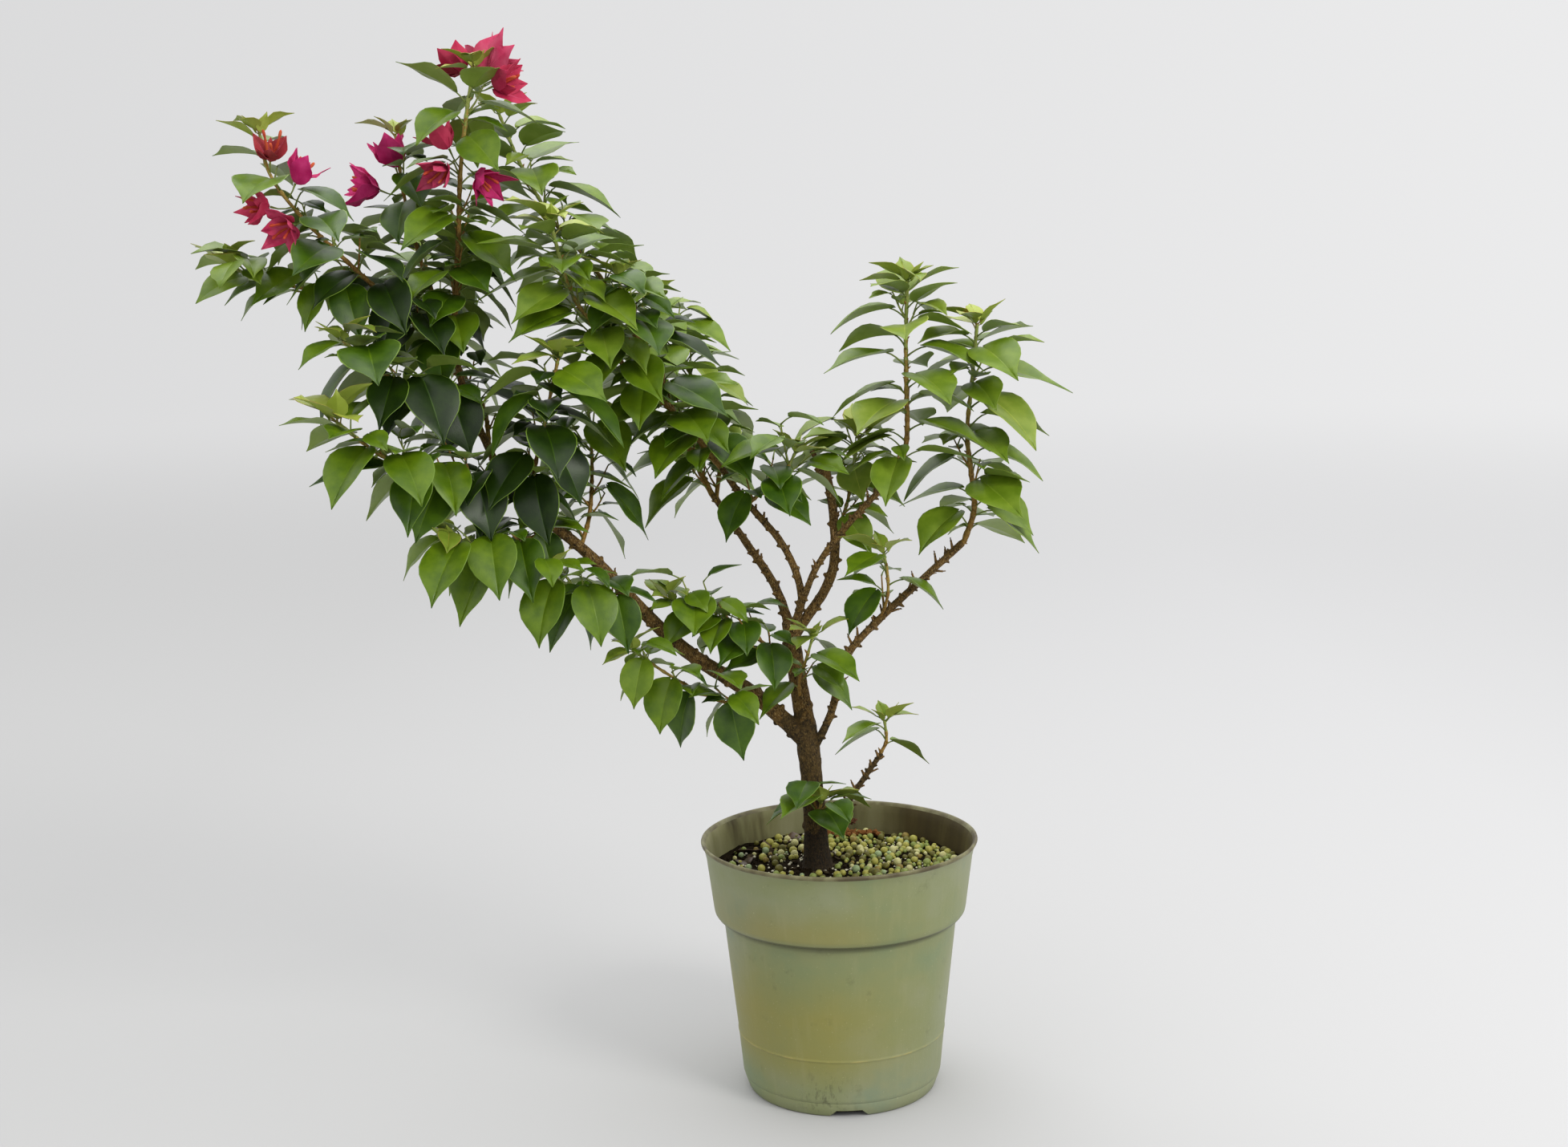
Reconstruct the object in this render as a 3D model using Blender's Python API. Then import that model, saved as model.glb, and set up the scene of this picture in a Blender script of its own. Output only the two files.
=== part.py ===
"""A young bougainvillea bush in a round nursery pot, as separate solids.

Metres, +Z up. The origin is the centre of the pot's flat underside. The bush leans towards -X, and its
leaves turn their faces towards -Y, the side that its light came from.

Every woody limb is a tapering tube along a smooth curve. Every mass of foliage is one leafy shoot: a stem,
stalked leaves that follow each other round it by a fixed turn, and on some shoots the coloured bracts. Limbs
and shoots that spring from one another stay 0.35 mm apart. A leaf that would touch a limb, another leaf or
the space of a neighbouring shoot is turned a little, and left out if that doesn't help.
"""

import math
import random
from typing import NamedTuple

import bmesh
import bpy
from mathutils import Matrix, Vector
from mathutils.bvhtree import BVHTree

MM = 0.001
UP = Vector((0, 0, 1))
GAP = 0.35 * MM  # between neighbouring solids

# Pot: outer radii and heights, in millimetres
POT_HEIGHT = 153.0
RIM_RADIUS = 82.6
RIM_DEPTH = 3.0  # height of the rolled rim
BAND_TOP_RADIUS = 80.6
BAND_BOTTOM_RADIUS = 75.6
BAND_BOTTOM = 112.0  # height where the deep band under the rim turns in
SHOULDER_RADIUS = 70.0
SHOULDER = 107.0  # height where the band has met the body
FOOT_TOP_RADIUS = 59.6
FOOT_TOP = 9.6
FOOT_RADIUS = 56.4
WALL = 1.8
FLOOR = 3.0  # thickness
POT_SIDES = 36
SOIL_LEVEL = 136.0
SOIL_DIP = 3.2  # the deepest hollows in its surface
SOIL_FLAT = 14.0  # round the trunk
NOTCHES = 3  # drainage notches in the foot, the first of them at the front
NOTCH_HEIGHT = 4.2
NOTCH_WIDTH = 26.0
NOTCH_TOP_WIDTH = 15.0
NOTCH_DEPTH = 15.0
NOTCH_TURN = math.radians(2.5)

# Limbs: the radius at both ends, then the points that each passes, in millimetres
LIMB_SIDES = 7
LIMB_STEP = 18.0
LIMBS = {
    "trunk": (7.2, 4.8, [(-13, 0, 136), (-15, 0, 179), (-18, 0, 214), (-24, 4, 256), (-27, 5, 283)]),
    "bough_left": (5.2, 2.8, [(-18, 0, 212), (-48, -6, 241), (-94, -16, 276), (-143, -26, 331),
                              (-182, -28, 363)]),
    "bough_leader": (2.4, 1.9, [(-183, -28, 364), (-199, -20, 395), (-212, -11, 426), (-217, -6, 452)]),
    "bough_stub": (3.1, 2.5, [(-24, 5, 276), (-6, 5, 302), (0, 5, 322), (-1, 5, 352), (-6, 5, 381)]),
    "bough_middle": (2.4, 1.9, [(-26, 2, 278), (-20, 0, 300), (-30, 0, 329), (-52, 2, 356), (-66, 3, 376)]),
    "bough_back": (2.8, 2.0, [(-27, 6, 280), (-36, 14, 304), (-54, 28, 330), (-72, 40, 355)]),
    "bough_upright": (2.0, 1.8, [(-22, 0, 290), (-9, -10, 321), (14, -13, 350), (36, -13, 371)]),
    "bough_right": (2.4, 2.1, [(-16, -1, 204), (-4, -6, 229), (6, -8, 264), (27, -6, 287), (52, -2, 309),
                               (75, 1, 329)]),
    "twig_foot": (2.1, 1.5, [(-14, 0, 160), (2, 9, 166), (13, 15, 180), (27, 18, 199)]),
}
ROOT_FLARE = 2.4  # what the trunk's foot adds to its radius
FORK_SWELL = 0.9  # and what the trunk gains where the lowest boughs leave it
FORK_HEIGHT = 210.0

# Leaves
TURN = math.radians(137.5)  # from each leaf to the next, round the stem
LIGHT = Vector((-0.15, -1.0, 0.0))  # the level direction that the blades turn to
SPREAD = 1.5  # how much more the blades reach to the sides than to and from the light
LEAF_WIDTH = 0.82  # of the length
LEAF_THICKNESS = 0.55
STALK = 0.30  # of the blade's length
STALK_RADIUS = 0.55
LEAF_OUTLINE = ((0.20, 0.94), (0.68, 0.56))  # shares of the length and of the half width
RIB_SHARE = 0.38  # where along the blade its middle point is
TRIES = 7
TRY_TURN = 0.35  # how much further each try turns a leaf that doesn't fit
CROWDED_TIP = 0.16  # the last share of a stem, where the leaves are young and stand up
YOUNG_LIFT = 25  # degrees that those stand higher
FOLD = (10, 26)  # degrees that each half of a blade is folded up
ARCH = (12, 38)  # degrees that a blade bends down on its way to the tip
FACING = (0.4, 1.2)  # how far a drooping blade turns to the light
SIDEWAYS = 0.7  # how much less it turns where it points sideways
STEM_SIDES = 4
STEM_STEP = 18.0
SPACE_SLACK = 6.0  # how far a leaf's middle may pass the halfway line to the next shoot
FLAT_ANGLE = math.radians(0.2)


class Shoot(NamedTuple):
    """One leafy shoot. Millimetres and degrees."""

    foot_radius: float
    tip_radius: float
    spacing: float  # from leaf to leaf along the stem
    leaf: float  # length of a full-grown blade
    droop_foot: float  # slope of the blades at the shoot's foot
    droop_tip: float
    heading: float  # of the first leaf, round the stem
    points: list  # that the stem passes


SHOOTS = {
    "foliage_top": Shoot(1.8, 1.0, 5.6, 36, 26, -4, 200, [
        (-217, -6, 453), (-214, -9, 482), (-211, -12, 510), (-208, -14, 546), (-203, -16, 578),
        (-198, -16, 604)]),
    "foliage_inner": Shoot(1.5, 0.9, 6.0, 35, 24, 2, 80, [
        (-216, -7, 444), (-228, 6, 474), (-239, 18, 502), (-247, 24, 536), (-251, 27, 570)]),
    "foliage_left": Shoot(1.7, 0.9, 6.0, 37, 34, 0, 250, [
        (-215, -8, 438), (-236, -20, 463), (-263, -42, 493), (-290, -52, 523), (-305, -56, 546),
        (-309, -58, 568)]),
    "foliage_far_left": Shoot(1.3, 0.8, 6.2, 33, 26, 0, 170, [
        (-262, -41, 491), (-284, -34, 483), (-309, -34, 487), (-322, -37, 490), (-333, -40, 497)]),
    "foliage_flank": Shoot(1.4, 0.9, 7.0, 39, 40, 14, 120, [
        (-208, -14, 412), (-224, -38, 424), (-246, -58, 436), (-268, -66, 456)]),
    "foliage_front": Shoot(1.4, 0.9, 6.6, 40, 44, 22, 40, [
        (-174, -29, 357), (-168, -46, 384), (-160, -56, 412), (-152, -56, 444)]),
    "foliage_low": Shoot(1.7, 0.9, 6.0, 38, 40, 0, 210, [
        (-184, -29, 364), (-200, -46, 377), (-225, -64, 381), (-247, -80, 394), (-269, -90, 414)]),
    "foliage_drop": Shoot(1.3, 0.9, 6.0, 40, 50, 34, 330, [
        (-162, -28, 347), (-174, -44, 342), (-194, -58, 340), (-216, -66, 346)]),
    "foliage_middle": Shoot(1.8, 0.9, 5.4, 37, 18, -4, 300, [
        (-67, 3, 377), (-89, -5, 406), (-116, -20, 434), (-137, -32, 464), (-147, -34, 482),
        (-156, -35, 517)]),
    "foliage_elbow": Shoot(1.2, 0.8, 7.0, 34, 30, 6, 200, [
        (-50, 2, 354), (-42, -10, 362), (-30, -16, 372), (-22, -18, 386)]),
    "foliage_inward": Shoot(1.3, 0.8, 7.0, 36, 30, 8, 200, [
        (-105, -14, 424), (-108, -24, 446), (-116, -28, 468), (-120, -28, 488)]),
    "foliage_back": Shoot(1.9, 0.9, 7.4, 42, 8, -4, 30, [
        (-73, 41, 356), (-84, 49, 378), (-101, 59, 417), (-121, 67, 458), (-144, 71, 494),
        (-166, 73, 520), (-184, 72, 553), (-196, 69, 584)]),
    "foliage_outer": Shoot(1.6, 0.9, 7.2, 34, 10, 0, 0, [
        (-70, 38, 352), (-68, 58, 380), (-78, 74, 410), (-94, 82, 442), (-110, 84, 470)]),
    "foliage_rear": Shoot(1.6, 0.9, 9.8, 38, 20, 6, 60, [
        (-197, -20, 390), (-204, 12, 412), (-222, 44, 434), (-238, 62, 466), (-244, 68, 500)]),
    "foliage_under": Shoot(1.5, 0.9, 7.6, 37, 40, 16, 20, [
        (-146, -27, 334), (-142, -8, 352), (-142, 16, 380), (-144, 24, 412)]),
    "foliage_bough": Shoot(1.3, 0.8, 6.8, 36, 50, 36, 240, [
        (-122, -22, 304), (-130, -38, 306), (-146, -50, 312), (-160, -56, 322)]),
    "foliage_bough_low": Shoot(1.2, 0.8, 6.6, 30, 54, 44, 100, [
        (-50, -9, 239), (-62, -22, 240), (-80, -29, 249), (-100, -33, 262), (-118, -36, 276)]),
    "foliage_crotch": Shoot(1.4, 0.8, 6.2, 31, 20, 4, 150, [
        (-24, 3, 250), (-38, -4, 268), (-56, -8, 282), (-78, -10, 292), (-96, -12, 300)]),
    "foliage_trunk": Shoot(1.2, 0.8, 7.0, 31, 30, 10, 250, [
        (-22, -2, 240), (-22, -12, 252), (-18, -16, 264), (-14, -18, 278)]),
    "foliage_fork": Shoot(1.1, 0.8, 6.8, 33, 20, 4, 90, [
        (26, -6, 286), (30, -12, 300), (30, -14, 314), (28, -14, 326)]),
    "foliage_stub": Shoot(1.2, 0.8, 6.4, 31, 22, 4, 190, [
        (-1, 5, 330), (8, 14, 352), (12, 20, 372), (16, 24, 390)]),
    "foliage_upright": Shoot(1.7, 0.9, 5.4, 38, 10, 0, 180, [
        (37, -13, 372), (42, -12, 392), (42, -12, 424), (42, -12, 450), (43, -12, 482)]),
    "foliage_right": Shoot(1.9, 0.9, 5.8, 41, 12, 0, 10, [
        (76, 1, 330), (82, 2, 349), (80, 2, 372), (78, 2, 394), (81, 2, 424), (84, 2, 456)]),
    "foliage_foot": Shoot(1.0, 0.7, 3.0, 30, 10, 0, 190, [
        (-15, -2, 168), (-12, -11, 172), (-10, -15, 179)]),
    "foliage_foot_right": Shoot(1.2, 0.8, 5.5, 26, 8, -6, 350, [
        (27, 18, 200), (30, 18, 207), (29, 18, 219)]),
}

# Blooms: the shoot, how far along it, heading in degrees, rise in degrees, length of its stalk
BRACT = 22.0
BRACT_WIDTH = 0.72
BRACT_OUTLINE = ((0.42, 1.0),)
BLOOMS = (
    ("foliage_top", 0.95, 60, 50, 9), ("foliage_top", 0.95, 20, 34, 12), ("foliage_top", 0.93, 130, 42, 12),
    ("foliage_top", 0.91, 345, 10, 14), ("foliage_top", 0.63, 165, 60, 13), ("foliage_top", 0.69, 225, -35, 13),
    ("foliage_top", 0.66, 325, -35, 13),
    ("foliage_inner", 0.79, 205, 68, 9), ("foliage_inner", 0.73, 195, 12, 14),
    ("foliage_left", 0.87, 290, 60, 7), ("foliage_left", 0.77, 5, 60, 10),
    ("foliage_left", 0.74, 215, 0, 13), ("foliage_left", 0.69, 240, -20, 9),
)

COLOURS = {
    "pot": ((0.36, 0.40, 0.27, 1), 0.55),
    "soil": ((0.09, 0.06, 0.04, 1), 0.95),
    "bark": ((0.17, 0.10, 0.06, 1), 0.85),
    "leaf": ((0.07, 0.17, 0.03, 1), 0.38),
    "bract": ((0.62, 0.03, 0.16, 1), 0.6),
}


def point(values):
    """A point given in millimetres."""
    return Vector(values) * MM


def material(name):
    """The named material, made once."""
    found = bpy.data.materials.get(name)
    if found:
        return found
    made = bpy.data.materials.new(name)
    made.use_nodes = True
    shader = made.node_tree.nodes["Principled BSDF"]
    colour, roughness = COLOURS[name]
    shader.inputs["Base Color"].default_value = colour
    shader.inputs["Roughness"].default_value = roughness
    made.diffuse_color = colour
    return made


def add_object(name, vertices, faces, materials=("bark",), kinds=None):
    """A mesh object in the scene, all of triangles. kinds gives each face's place in materials."""
    kinds = [kind for face, kind in zip(faces, kinds or [0] * len(faces)) for _ in face[2:]]
    faces = [(face[0], face[i], face[i + 1]) for face in faces for i in range(1, len(face) - 1)]
    mesh = bpy.data.meshes.new(name)
    mesh.from_pydata([tuple(v) for v in vertices], [], faces)
    for used in materials:
        mesh.materials.append(material(used))
    mesh.polygons.foreach_set("material_index", kinds)
    mesh.update()
    made = bpy.data.objects.new(name, mesh)
    bpy.context.scene.collection.objects.link(made)
    return made


def apply_boolean(obj, operation, operand):
    """Joins or cuts obj with an object or a collection, applies that, and removes what it used."""
    modifier = obj.modifiers.new("join", "BOOLEAN")
    modifier.operation = operation
    modifier.solver = "EXACT"
    if isinstance(operand, bpy.types.Collection):
        modifier.operand_type = "COLLECTION"
        modifier.collection = operand
        used = list(operand.objects)
    else:
        modifier.object = operand
        used = [operand]
    graph = bpy.context.evaluated_depsgraph_get()
    joined = bpy.data.meshes.new_from_object(obj.evaluated_get(graph))
    obj.modifiers.remove(modifier)
    obj.data = joined
    for gone in used:
        bpy.data.objects.remove(gone)


# ---------------------------------------------------------------- curves and tubes

def smooth_path(points, step):
    """A Catmull-Rom curve through the points, cut at about equal steps. Returns its points, in metres."""
    ends = [points[0] * 2 - points[1], *points, points[-1] * 2 - points[-2]]
    path = [points[0]]
    for a, b, c, d in zip(ends, ends[1:], ends[2:], ends[3:]):
        pieces = max(1, round((c - b).length / (step * MM)))
        for i in range(1, pieces + 1):
            t = i / pieces
            path.append(0.5 * (2 * b + (c - a) * t + (2 * a - 5 * b + 4 * c - d) * t ** 2
                               + (3 * b - 3 * c + d - a) * t ** 3))
    return path


def shares_of(path):
    """How far along the path each of its points is, from 0 to 1."""
    lengths = [0.0]
    for a, b in zip(path, path[1:]):
        lengths.append(lengths[-1] + (b - a).length)
    return [x / lengths[-1] for x in lengths]


def along(path, share):
    """The point at that share of the path's length, and the direction there."""
    shares = shares_of(path)
    for i in range(1, len(path)):
        if share <= shares[i] or i == len(path) - 1:
            t = (share - shares[i - 1]) / (shares[i] - shares[i - 1])
            return path[i - 1].lerp(path[i], t), (path[i] - path[i - 1]).normalized()


def ring_axes(path):
    """For each point of the path, two directions square to it that don't twist from ring to ring."""
    axes = []
    side = None
    for i in range(len(path)):
        tangent = (path[min(i + 1, len(path) - 1)] - path[max(i - 1, 0)]).normalized()
        if side is None:
            side = tangent.cross(Vector((0, 1, 0))).normalized()
        side = (side - tangent * side.dot(tangent)).normalized()
        axes.append((side, tangent.cross(side)))
    return axes


def tube_mesh(path, radii, sides):
    """A closed tube along the path, as vertices and faces."""
    vertices, faces = [], []
    for middle, radius, (a, b) in zip(path, radii, ring_axes(path)):
        for k in range(sides):
            turn = 2 * math.pi * k / sides
            vertices.append(middle + (a * math.cos(turn) + b * math.sin(turn)) * radius)
    for i in range(len(path) - 1):
        for k in range(sides):
            j, nxt = i * sides + k, i * sides + (k + 1) % sides
            faces.append((j, nxt, nxt + sides, j + sides))
    faces.append(tuple(reversed(range(sides))))
    faces.append(tuple(range(len(vertices) - sides, len(vertices))))
    return vertices, faces


def limb_radii(name, path, first, last):
    """The radius at each point: an even taper, and on the trunk a root flare and a swollen fork."""
    radii = []
    for share, middle in zip(shares_of(path), path):
        radius = (first + (last - first) * share) * MM
        if name == "trunk":
            radius += ROOT_FLARE * MM * math.exp(-(middle.z - SOIL_LEVEL * MM) / (8 * MM))
            radius += FORK_SWELL * MM * math.exp(-((middle.z - FORK_HEIGHT * MM) / (16 * MM)) ** 2)
        radii.append(radius)
    return radii


# ---------------------------------------------------------------- leaves

def blade_point(leaf, share, across):
    """A point of the blade: share runs along it from 0 to 1, across over its width from -1 to 1."""
    bend = leaf["arch"] * share
    outward = leaf["along"] * math.sin(bend) - leaf["normal"] * (1 - math.cos(bend))
    local_normal = leaf["normal"] * math.cos(bend) + leaf["along"] * math.sin(bend)
    half = leaf["length"] * leaf["shape"] / 2 * across
    return (leaf["base"] + outward * leaf["length"] / leaf["arch"]
            + leaf["side"] * half * math.cos(leaf["fold"])
            + local_normal * abs(half) * math.sin(leaf["fold"]))


def leaf_mesh(leaf, outline=LEAF_OUTLINE):
    """A stalked leaf as a closed mesh: a three-sided stalk that opens into a thin, folded blade."""
    axis = (leaf["base"] - leaf["root"]).normalized()
    vertices = stalk_ring(leaf, leaf["root"], axis)
    vertices += stalk_ring(leaf, leaf["base"], (axis + leaf["along"]).normalized())
    vertices += [blade_point(leaf, share, across) for share, across in outline]
    vertices.append(blade_point(leaf, 1.0, 0.0))
    vertices += [blade_point(leaf, share, -across) for share, across in reversed(outline)]
    middle = blade_point(leaf, RIB_SHARE, 0.0)
    half_thick = leaf["normal"] * LEAF_THICKNESS * MM / 2
    over, under = len(vertices), len(vertices) + 1
    vertices += [middle + half_thick, middle - half_thick]
    rim = [3, *range(6, over), 5]
    faces = [(0, 3, 4, 1), (1, 4, 5, 2), (2, 5, 3, 0), (0, 1, 2), (over, 3, 5), (under, 4, 3), (under, 5, 4)]
    for a, b in zip(rim, rim[1:]):
        faces.append((over, b, a))
        faces.append((under, a, b))
    return vertices, outward_faces(vertices, faces)


def stalk_ring(leaf, middle, heading):
    """The three corners of the stalk, square to its heading, with the flat side up."""
    side = (leaf["side"] - heading * leaf["side"].dot(heading)).normalized()
    above = side.cross(heading)
    if above.dot(leaf["normal"]) < 0:
        above.negate()
    corners = (side + above * 0.4, -above, -side + above * 0.4)
    return [middle + corner * STALK_RADIUS * MM for corner in corners]


def outward_faces(vertices, faces):
    """The faces of a closed mesh, turned to point out of it."""
    origin = vertices[0]
    volume = 0.0
    for face in faces:
        for i in range(1, len(face) - 1):
            a, b, c = (vertices[face[k]] - origin for k in (0, i, i + 1))
            volume += a.dot(b.cross(c))
    return faces if volume > 0 else [tuple(reversed(face)) for face in faces]


def make_leaf(root, outward, tangent, length, droop, chance):
    """A leaf on its stalk, from the stem's axis out. Its blade levels out, droops and faces the light."""
    outward = (outward + (UP * 0.8 + LIGHT * 0.6) * max(0.0, -outward.z)).normalized()
    rise = tangent * chance.uniform(0.35, 0.6) + UP * 0.25
    reach = (outward + rise).normalized()
    base = root + reach * length * STALK * chance.uniform(0.85, 1.25)
    level = outward + tangent * 0.3
    level = Vector((level.x * SPREAD, level.y, 0)) + LIGHT * 0.25
    if level.length < 0.2:
        level = LIGHT.copy()
    level.normalize()
    along_blade = level * math.cos(droop) - UP * math.sin(droop)
    turned = max(0.0, droop + 0.1) * chance.uniform(*FACING) * (1 - SIDEWAYS * level.x ** 2)
    facing = UP + LIGHT * turned + outward * 0.25
    normal = (facing - along_blade * facing.dot(along_blade)).normalized()
    return {
        "root": root, "base": base, "along": along_blade, "normal": normal, "side": along_blade.cross(normal),
        "length": length, "shape": LEAF_WIDTH * chance.uniform(0.88, 1.08),
        "fold": math.radians(chance.uniform(*FOLD)), "arch": math.radians(chance.uniform(*ARCH)),
    }


def well_bent(leaf):
    """Whether the stalk meets the blade from behind or below, so that neither runs through the other."""
    axis = (leaf["base"] - leaf["root"]).normalized()
    return axis.dot(leaf["along"]) > 0.1 and axis.dot(leaf["normal"]) > -0.25


def swollen(vertices, faces, by):
    """The closed mesh with each vertex moved outwards."""
    normals = [Vector() for _ in vertices]
    for face in faces:
        a, b, c = (vertices[k] for k in face[:3])
        normal = (b - a).cross(c - a).normalized()
        for k in face:
            normals[k] += normal
    return [v + n.normalized() * by for v, n in zip(vertices, normals)]


# ---------------------------------------------------------------- what is already there

class Solids:
    """The solids made so far, to be asked whether a new one would come too close."""

    def __init__(self):
        self.items = []

    def add(self, vertices, faces, owner):
        low = Vector([min(v[i] for v in vertices) for i in range(3)])
        high = Vector([max(v[i] for v in vertices) for i in range(3)])
        tree = BVHTree.FromPolygons([tuple(v) for v in vertices], faces)
        self.items.append((low, high, tree, list(vertices), owner))

    def near(self, low, high):
        for item in self.items:
            if all(item[0][i] < high[i] and item[1][i] > low[i] for i in range(3)):
                yield item

    def clear_of(self, vertices, faces, ignore=()):
        """Whether the mesh stays GAP away from all solids but those of the owners in ignore."""
        probe = swollen(vertices, faces, 2 * GAP)
        low = Vector([min(v[i] for v in probe) for i in range(3)])
        high = Vector([max(v[i] for v in probe) for i in range(3)])
        tree = BVHTree.FromPolygons([tuple(v) for v in probe], faces)
        for _, _, other, corners, owner in self.near(low, high):
            if owner in ignore:
                continue
            if other.overlap(tree):
                return False
            if any(other.find_nearest(v)[3] < GAP for v in vertices):
                return False
            if any(tree.find_nearest(v)[3] < GAP / 2 for v in corners if near_box(v, low, high)):
                return False
        return True

    def first_clear(self, path, radii):
        """The first place on a finely cut path where a tube's flat end is outside all solids by GAP."""
        for i in range(len(path) - 1):
            tangent = (path[i + 1] - path[i]).normalized()
            across = tangent.orthogonal().normalized()
            rim = [path[i] + Matrix.Rotation(math.radians(30 * k), 3, tangent) @ across * radii[i]
                   for k in range(12)]
            if all(self.outside(spot) for spot in rim + [path[i]]):
                return i
        return 0

    def outside(self, spot):
        for low, high, tree, _, _ in self.items:
            if not near_box(spot, low, high):
                continue
            nearest, normal, _, distance = tree.find_nearest(spot)
            if distance < GAP * 1.15 or (spot - nearest).dot(normal) < 0:
                return False
        return True


def near_box(spot, low, high, reach=3 * MM):
    return all(low[i] - reach < spot[i] < high[i] + reach for i in range(3))


# ---------------------------------------------------------------- the pot and its soil

def lathe(profile, sides):
    """A closed mesh of revolution. The profile runs from the axis, round the outside and back to the axis."""
    vertices, faces, rings = [], [], []
    for radius, height in profile:
        if radius == 0:
            rings.append([len(vertices)])
            vertices.append(point((0, 0, height)))
            continue
        rings.append(list(range(len(vertices), len(vertices) + sides)))
        for k in range(sides):
            turn = 2 * math.pi * (k + 0.5) / sides
            vertices.append(point((radius * math.cos(turn), radius * math.sin(turn), height)))
    for a, b in zip(rings, rings[1:]):
        for k in range(sides):
            nxt = (k + 1) % sides
            if len(a) == 1:
                faces.append((a[0], b[nxt], b[k]))
            elif len(b) == 1:
                faces.append((a[k], a[nxt], b[0]))
            else:
                faces.append((a[k], a[nxt], b[nxt], b[k]))
    return vertices, outward_faces(vertices, faces)


def outer_radius(height):
    """The radius of the pot's wall under its band, at that height in millimetres."""
    return FOOT_TOP_RADIUS + (SHOULDER_RADIUS - FOOT_TOP_RADIUS) * (height - FOOT_TOP) / (SHOULDER - FOOT_TOP)


def inner_profile(floor, top, inset):
    """The radii and heights of the pot's inside, from the floor up, drawn in by inset."""
    heights = (floor, SHOULDER + 1.0, BAND_BOTTOM + 1.5, top)
    radii = (outer_radius(floor), SHOULDER_RADIUS, BAND_BOTTOM_RADIUS,
             BAND_BOTTOM_RADIUS + (BAND_TOP_RADIUS - BAND_BOTTOM_RADIUS) * (top - BAND_BOTTOM)
             / (POT_HEIGHT - BAND_BOTTOM))
    return [(radius - WALL - inset, height) for radius, height in zip(radii, heights)]


def build_pot():
    """The pot: a tapered wall with a deep band and a rolled rim, and drainage notches in its foot."""
    inside = inner_profile(FLOOR, POT_HEIGHT, 0.0)
    profile = [(0, 0), (FOOT_RADIUS, 0), (FOOT_TOP_RADIUS, FOOT_TOP), (SHOULDER_RADIUS, SHOULDER),
               (BAND_BOTTOM_RADIUS - 1.4, BAND_BOTTOM - 3.2), (BAND_BOTTOM_RADIUS, BAND_BOTTOM),
               (BAND_TOP_RADIUS, POT_HEIGHT - 1.5 * RIM_DEPTH), (RIM_RADIUS, POT_HEIGHT - RIM_DEPTH),
               (RIM_RADIUS, POT_HEIGHT), *reversed(inside), (0, FLOOR)]
    pot = add_object("pot", *lathe(profile, POT_SIDES), materials=("pot",))
    for i in range(NOTCHES):
        apply_boolean(pot, "DIFFERENCE", notch_cutter(i))
    return pot


def notch_cutter(i):
    """A block with a sloped top for one drainage notch. It reaches under the pot and out of its wall."""
    outline = [(-NOTCH_WIDTH / 2, -1.0), (NOTCH_WIDTH / 2, -1.0), (NOTCH_TOP_WIDTH / 2, NOTCH_HEIGHT),
               (-NOTCH_TOP_WIDTH / 2, NOTCH_HEIGHT)]
    near, far = -(FOOT_TOP_RADIUS + 5.0), -(FOOT_RADIUS - NOTCH_DEPTH)
    vertices = [point((x, near, z)) for x, z in outline] + [point((x, far, z)) for x, z in outline]
    turn = Matrix.Rotation(NOTCH_TURN + 2 * math.pi * i / NOTCHES, 3, "Z")
    faces = [(0, 1, 2, 3), (7, 6, 5, 4), (0, 4, 5, 1), (1, 5, 6, 2), (2, 6, 7, 3), (3, 7, 4, 0)]
    vertices = [turn @ v for v in vertices]
    return add_object("cutter", vertices, outward_faces(vertices, faces), materials=("pot",))


def build_soil():
    """The filling of the pot, up to an uneven surface that is flat round the trunk."""
    chance = random.Random(11)
    wall = inner_profile(FLOOR + GAP / MM, SOIL_LEVEL - 2.0, GAP / MM)
    reach = wall[-1][0]
    rings = [(reach * share, SOIL_LEVEL) for share in (0.9, 0.66, 0.4)]
    profile = [(0, wall[0][1]), *wall, *rings, (0, SOIL_LEVEL)]
    vertices, faces = lathe(profile, POT_SIDES)
    for vertex in vertices:
        away = math.hypot(vertex.x - point(LIMBS["trunk"][2][0]).x, vertex.y) / MM
        if vertex.z > (SOIL_LEVEL - 1.0) * MM and away > SOIL_FLAT:
            vertex.z -= chance.uniform(0.0, SOIL_DIP) * MM
    return add_object("soil", vertices, faces, materials=("soil",))


# ---------------------------------------------------------------- limbs and shoots

def clear_tube(solids, points, radii_of, step, sides):
    """A tube along the points, its start moved out of the solids that are there, as path, vertices, faces."""
    fine = smooth_path([point(p) for p in points], 0.5)
    start = solids.first_clear(fine, radii_of(fine))
    length = sum((b - a).length for a, b in zip(fine[start:], fine[start + 1:]))
    every = max(1, round((len(fine) - start) / max(2, round(length / (step * MM)))))
    path = [fine[i] for i in range(start, len(fine) - every // 2, every)] + [fine[-1]]
    vertices, faces = tube_mesh(path, radii_of(path), sides)
    return path, vertices, outward_faces(vertices, faces)


def build_limbs(solids):
    """The trunk and the boughs, each a solid of its own."""
    for name, (first, last, points) in LIMBS.items():
        def radii_of(path):
            return limb_radii(name, path, first, last)
        _, vertices, faces = clear_tube(solids, points, radii_of, LIMB_STEP, LIMB_SIDES)
        add_object(name, vertices, faces)
        solids.add(vertices, faces, name)


def build_stems(solids):
    """The stems of all shoots. Returns each one's path and mesh."""
    stems = {}
    for name, shoot in SHOOTS.items():
        def radii_of(path):
            taper = shoot.tip_radius - shoot.foot_radius
            return [(shoot.foot_radius + taper * share) * MM for share in shares_of(path)]
        stems[name] = clear_tube(solids, shoot.points, radii_of, STEM_STEP, STEM_SIDES)
        solids.add(*stems[name][1:], name)
    return stems


def leaf_shares(length, spacing):
    """Where along a stem its leaves stand: evenly, then closer to each other in the crowded tip."""
    at = 0.45 * spacing * MM
    while at < length:
        yield at / length
        at += spacing * MM * (0.6 if at / length > 1 - CROWDED_TIP else 1.0)


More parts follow.
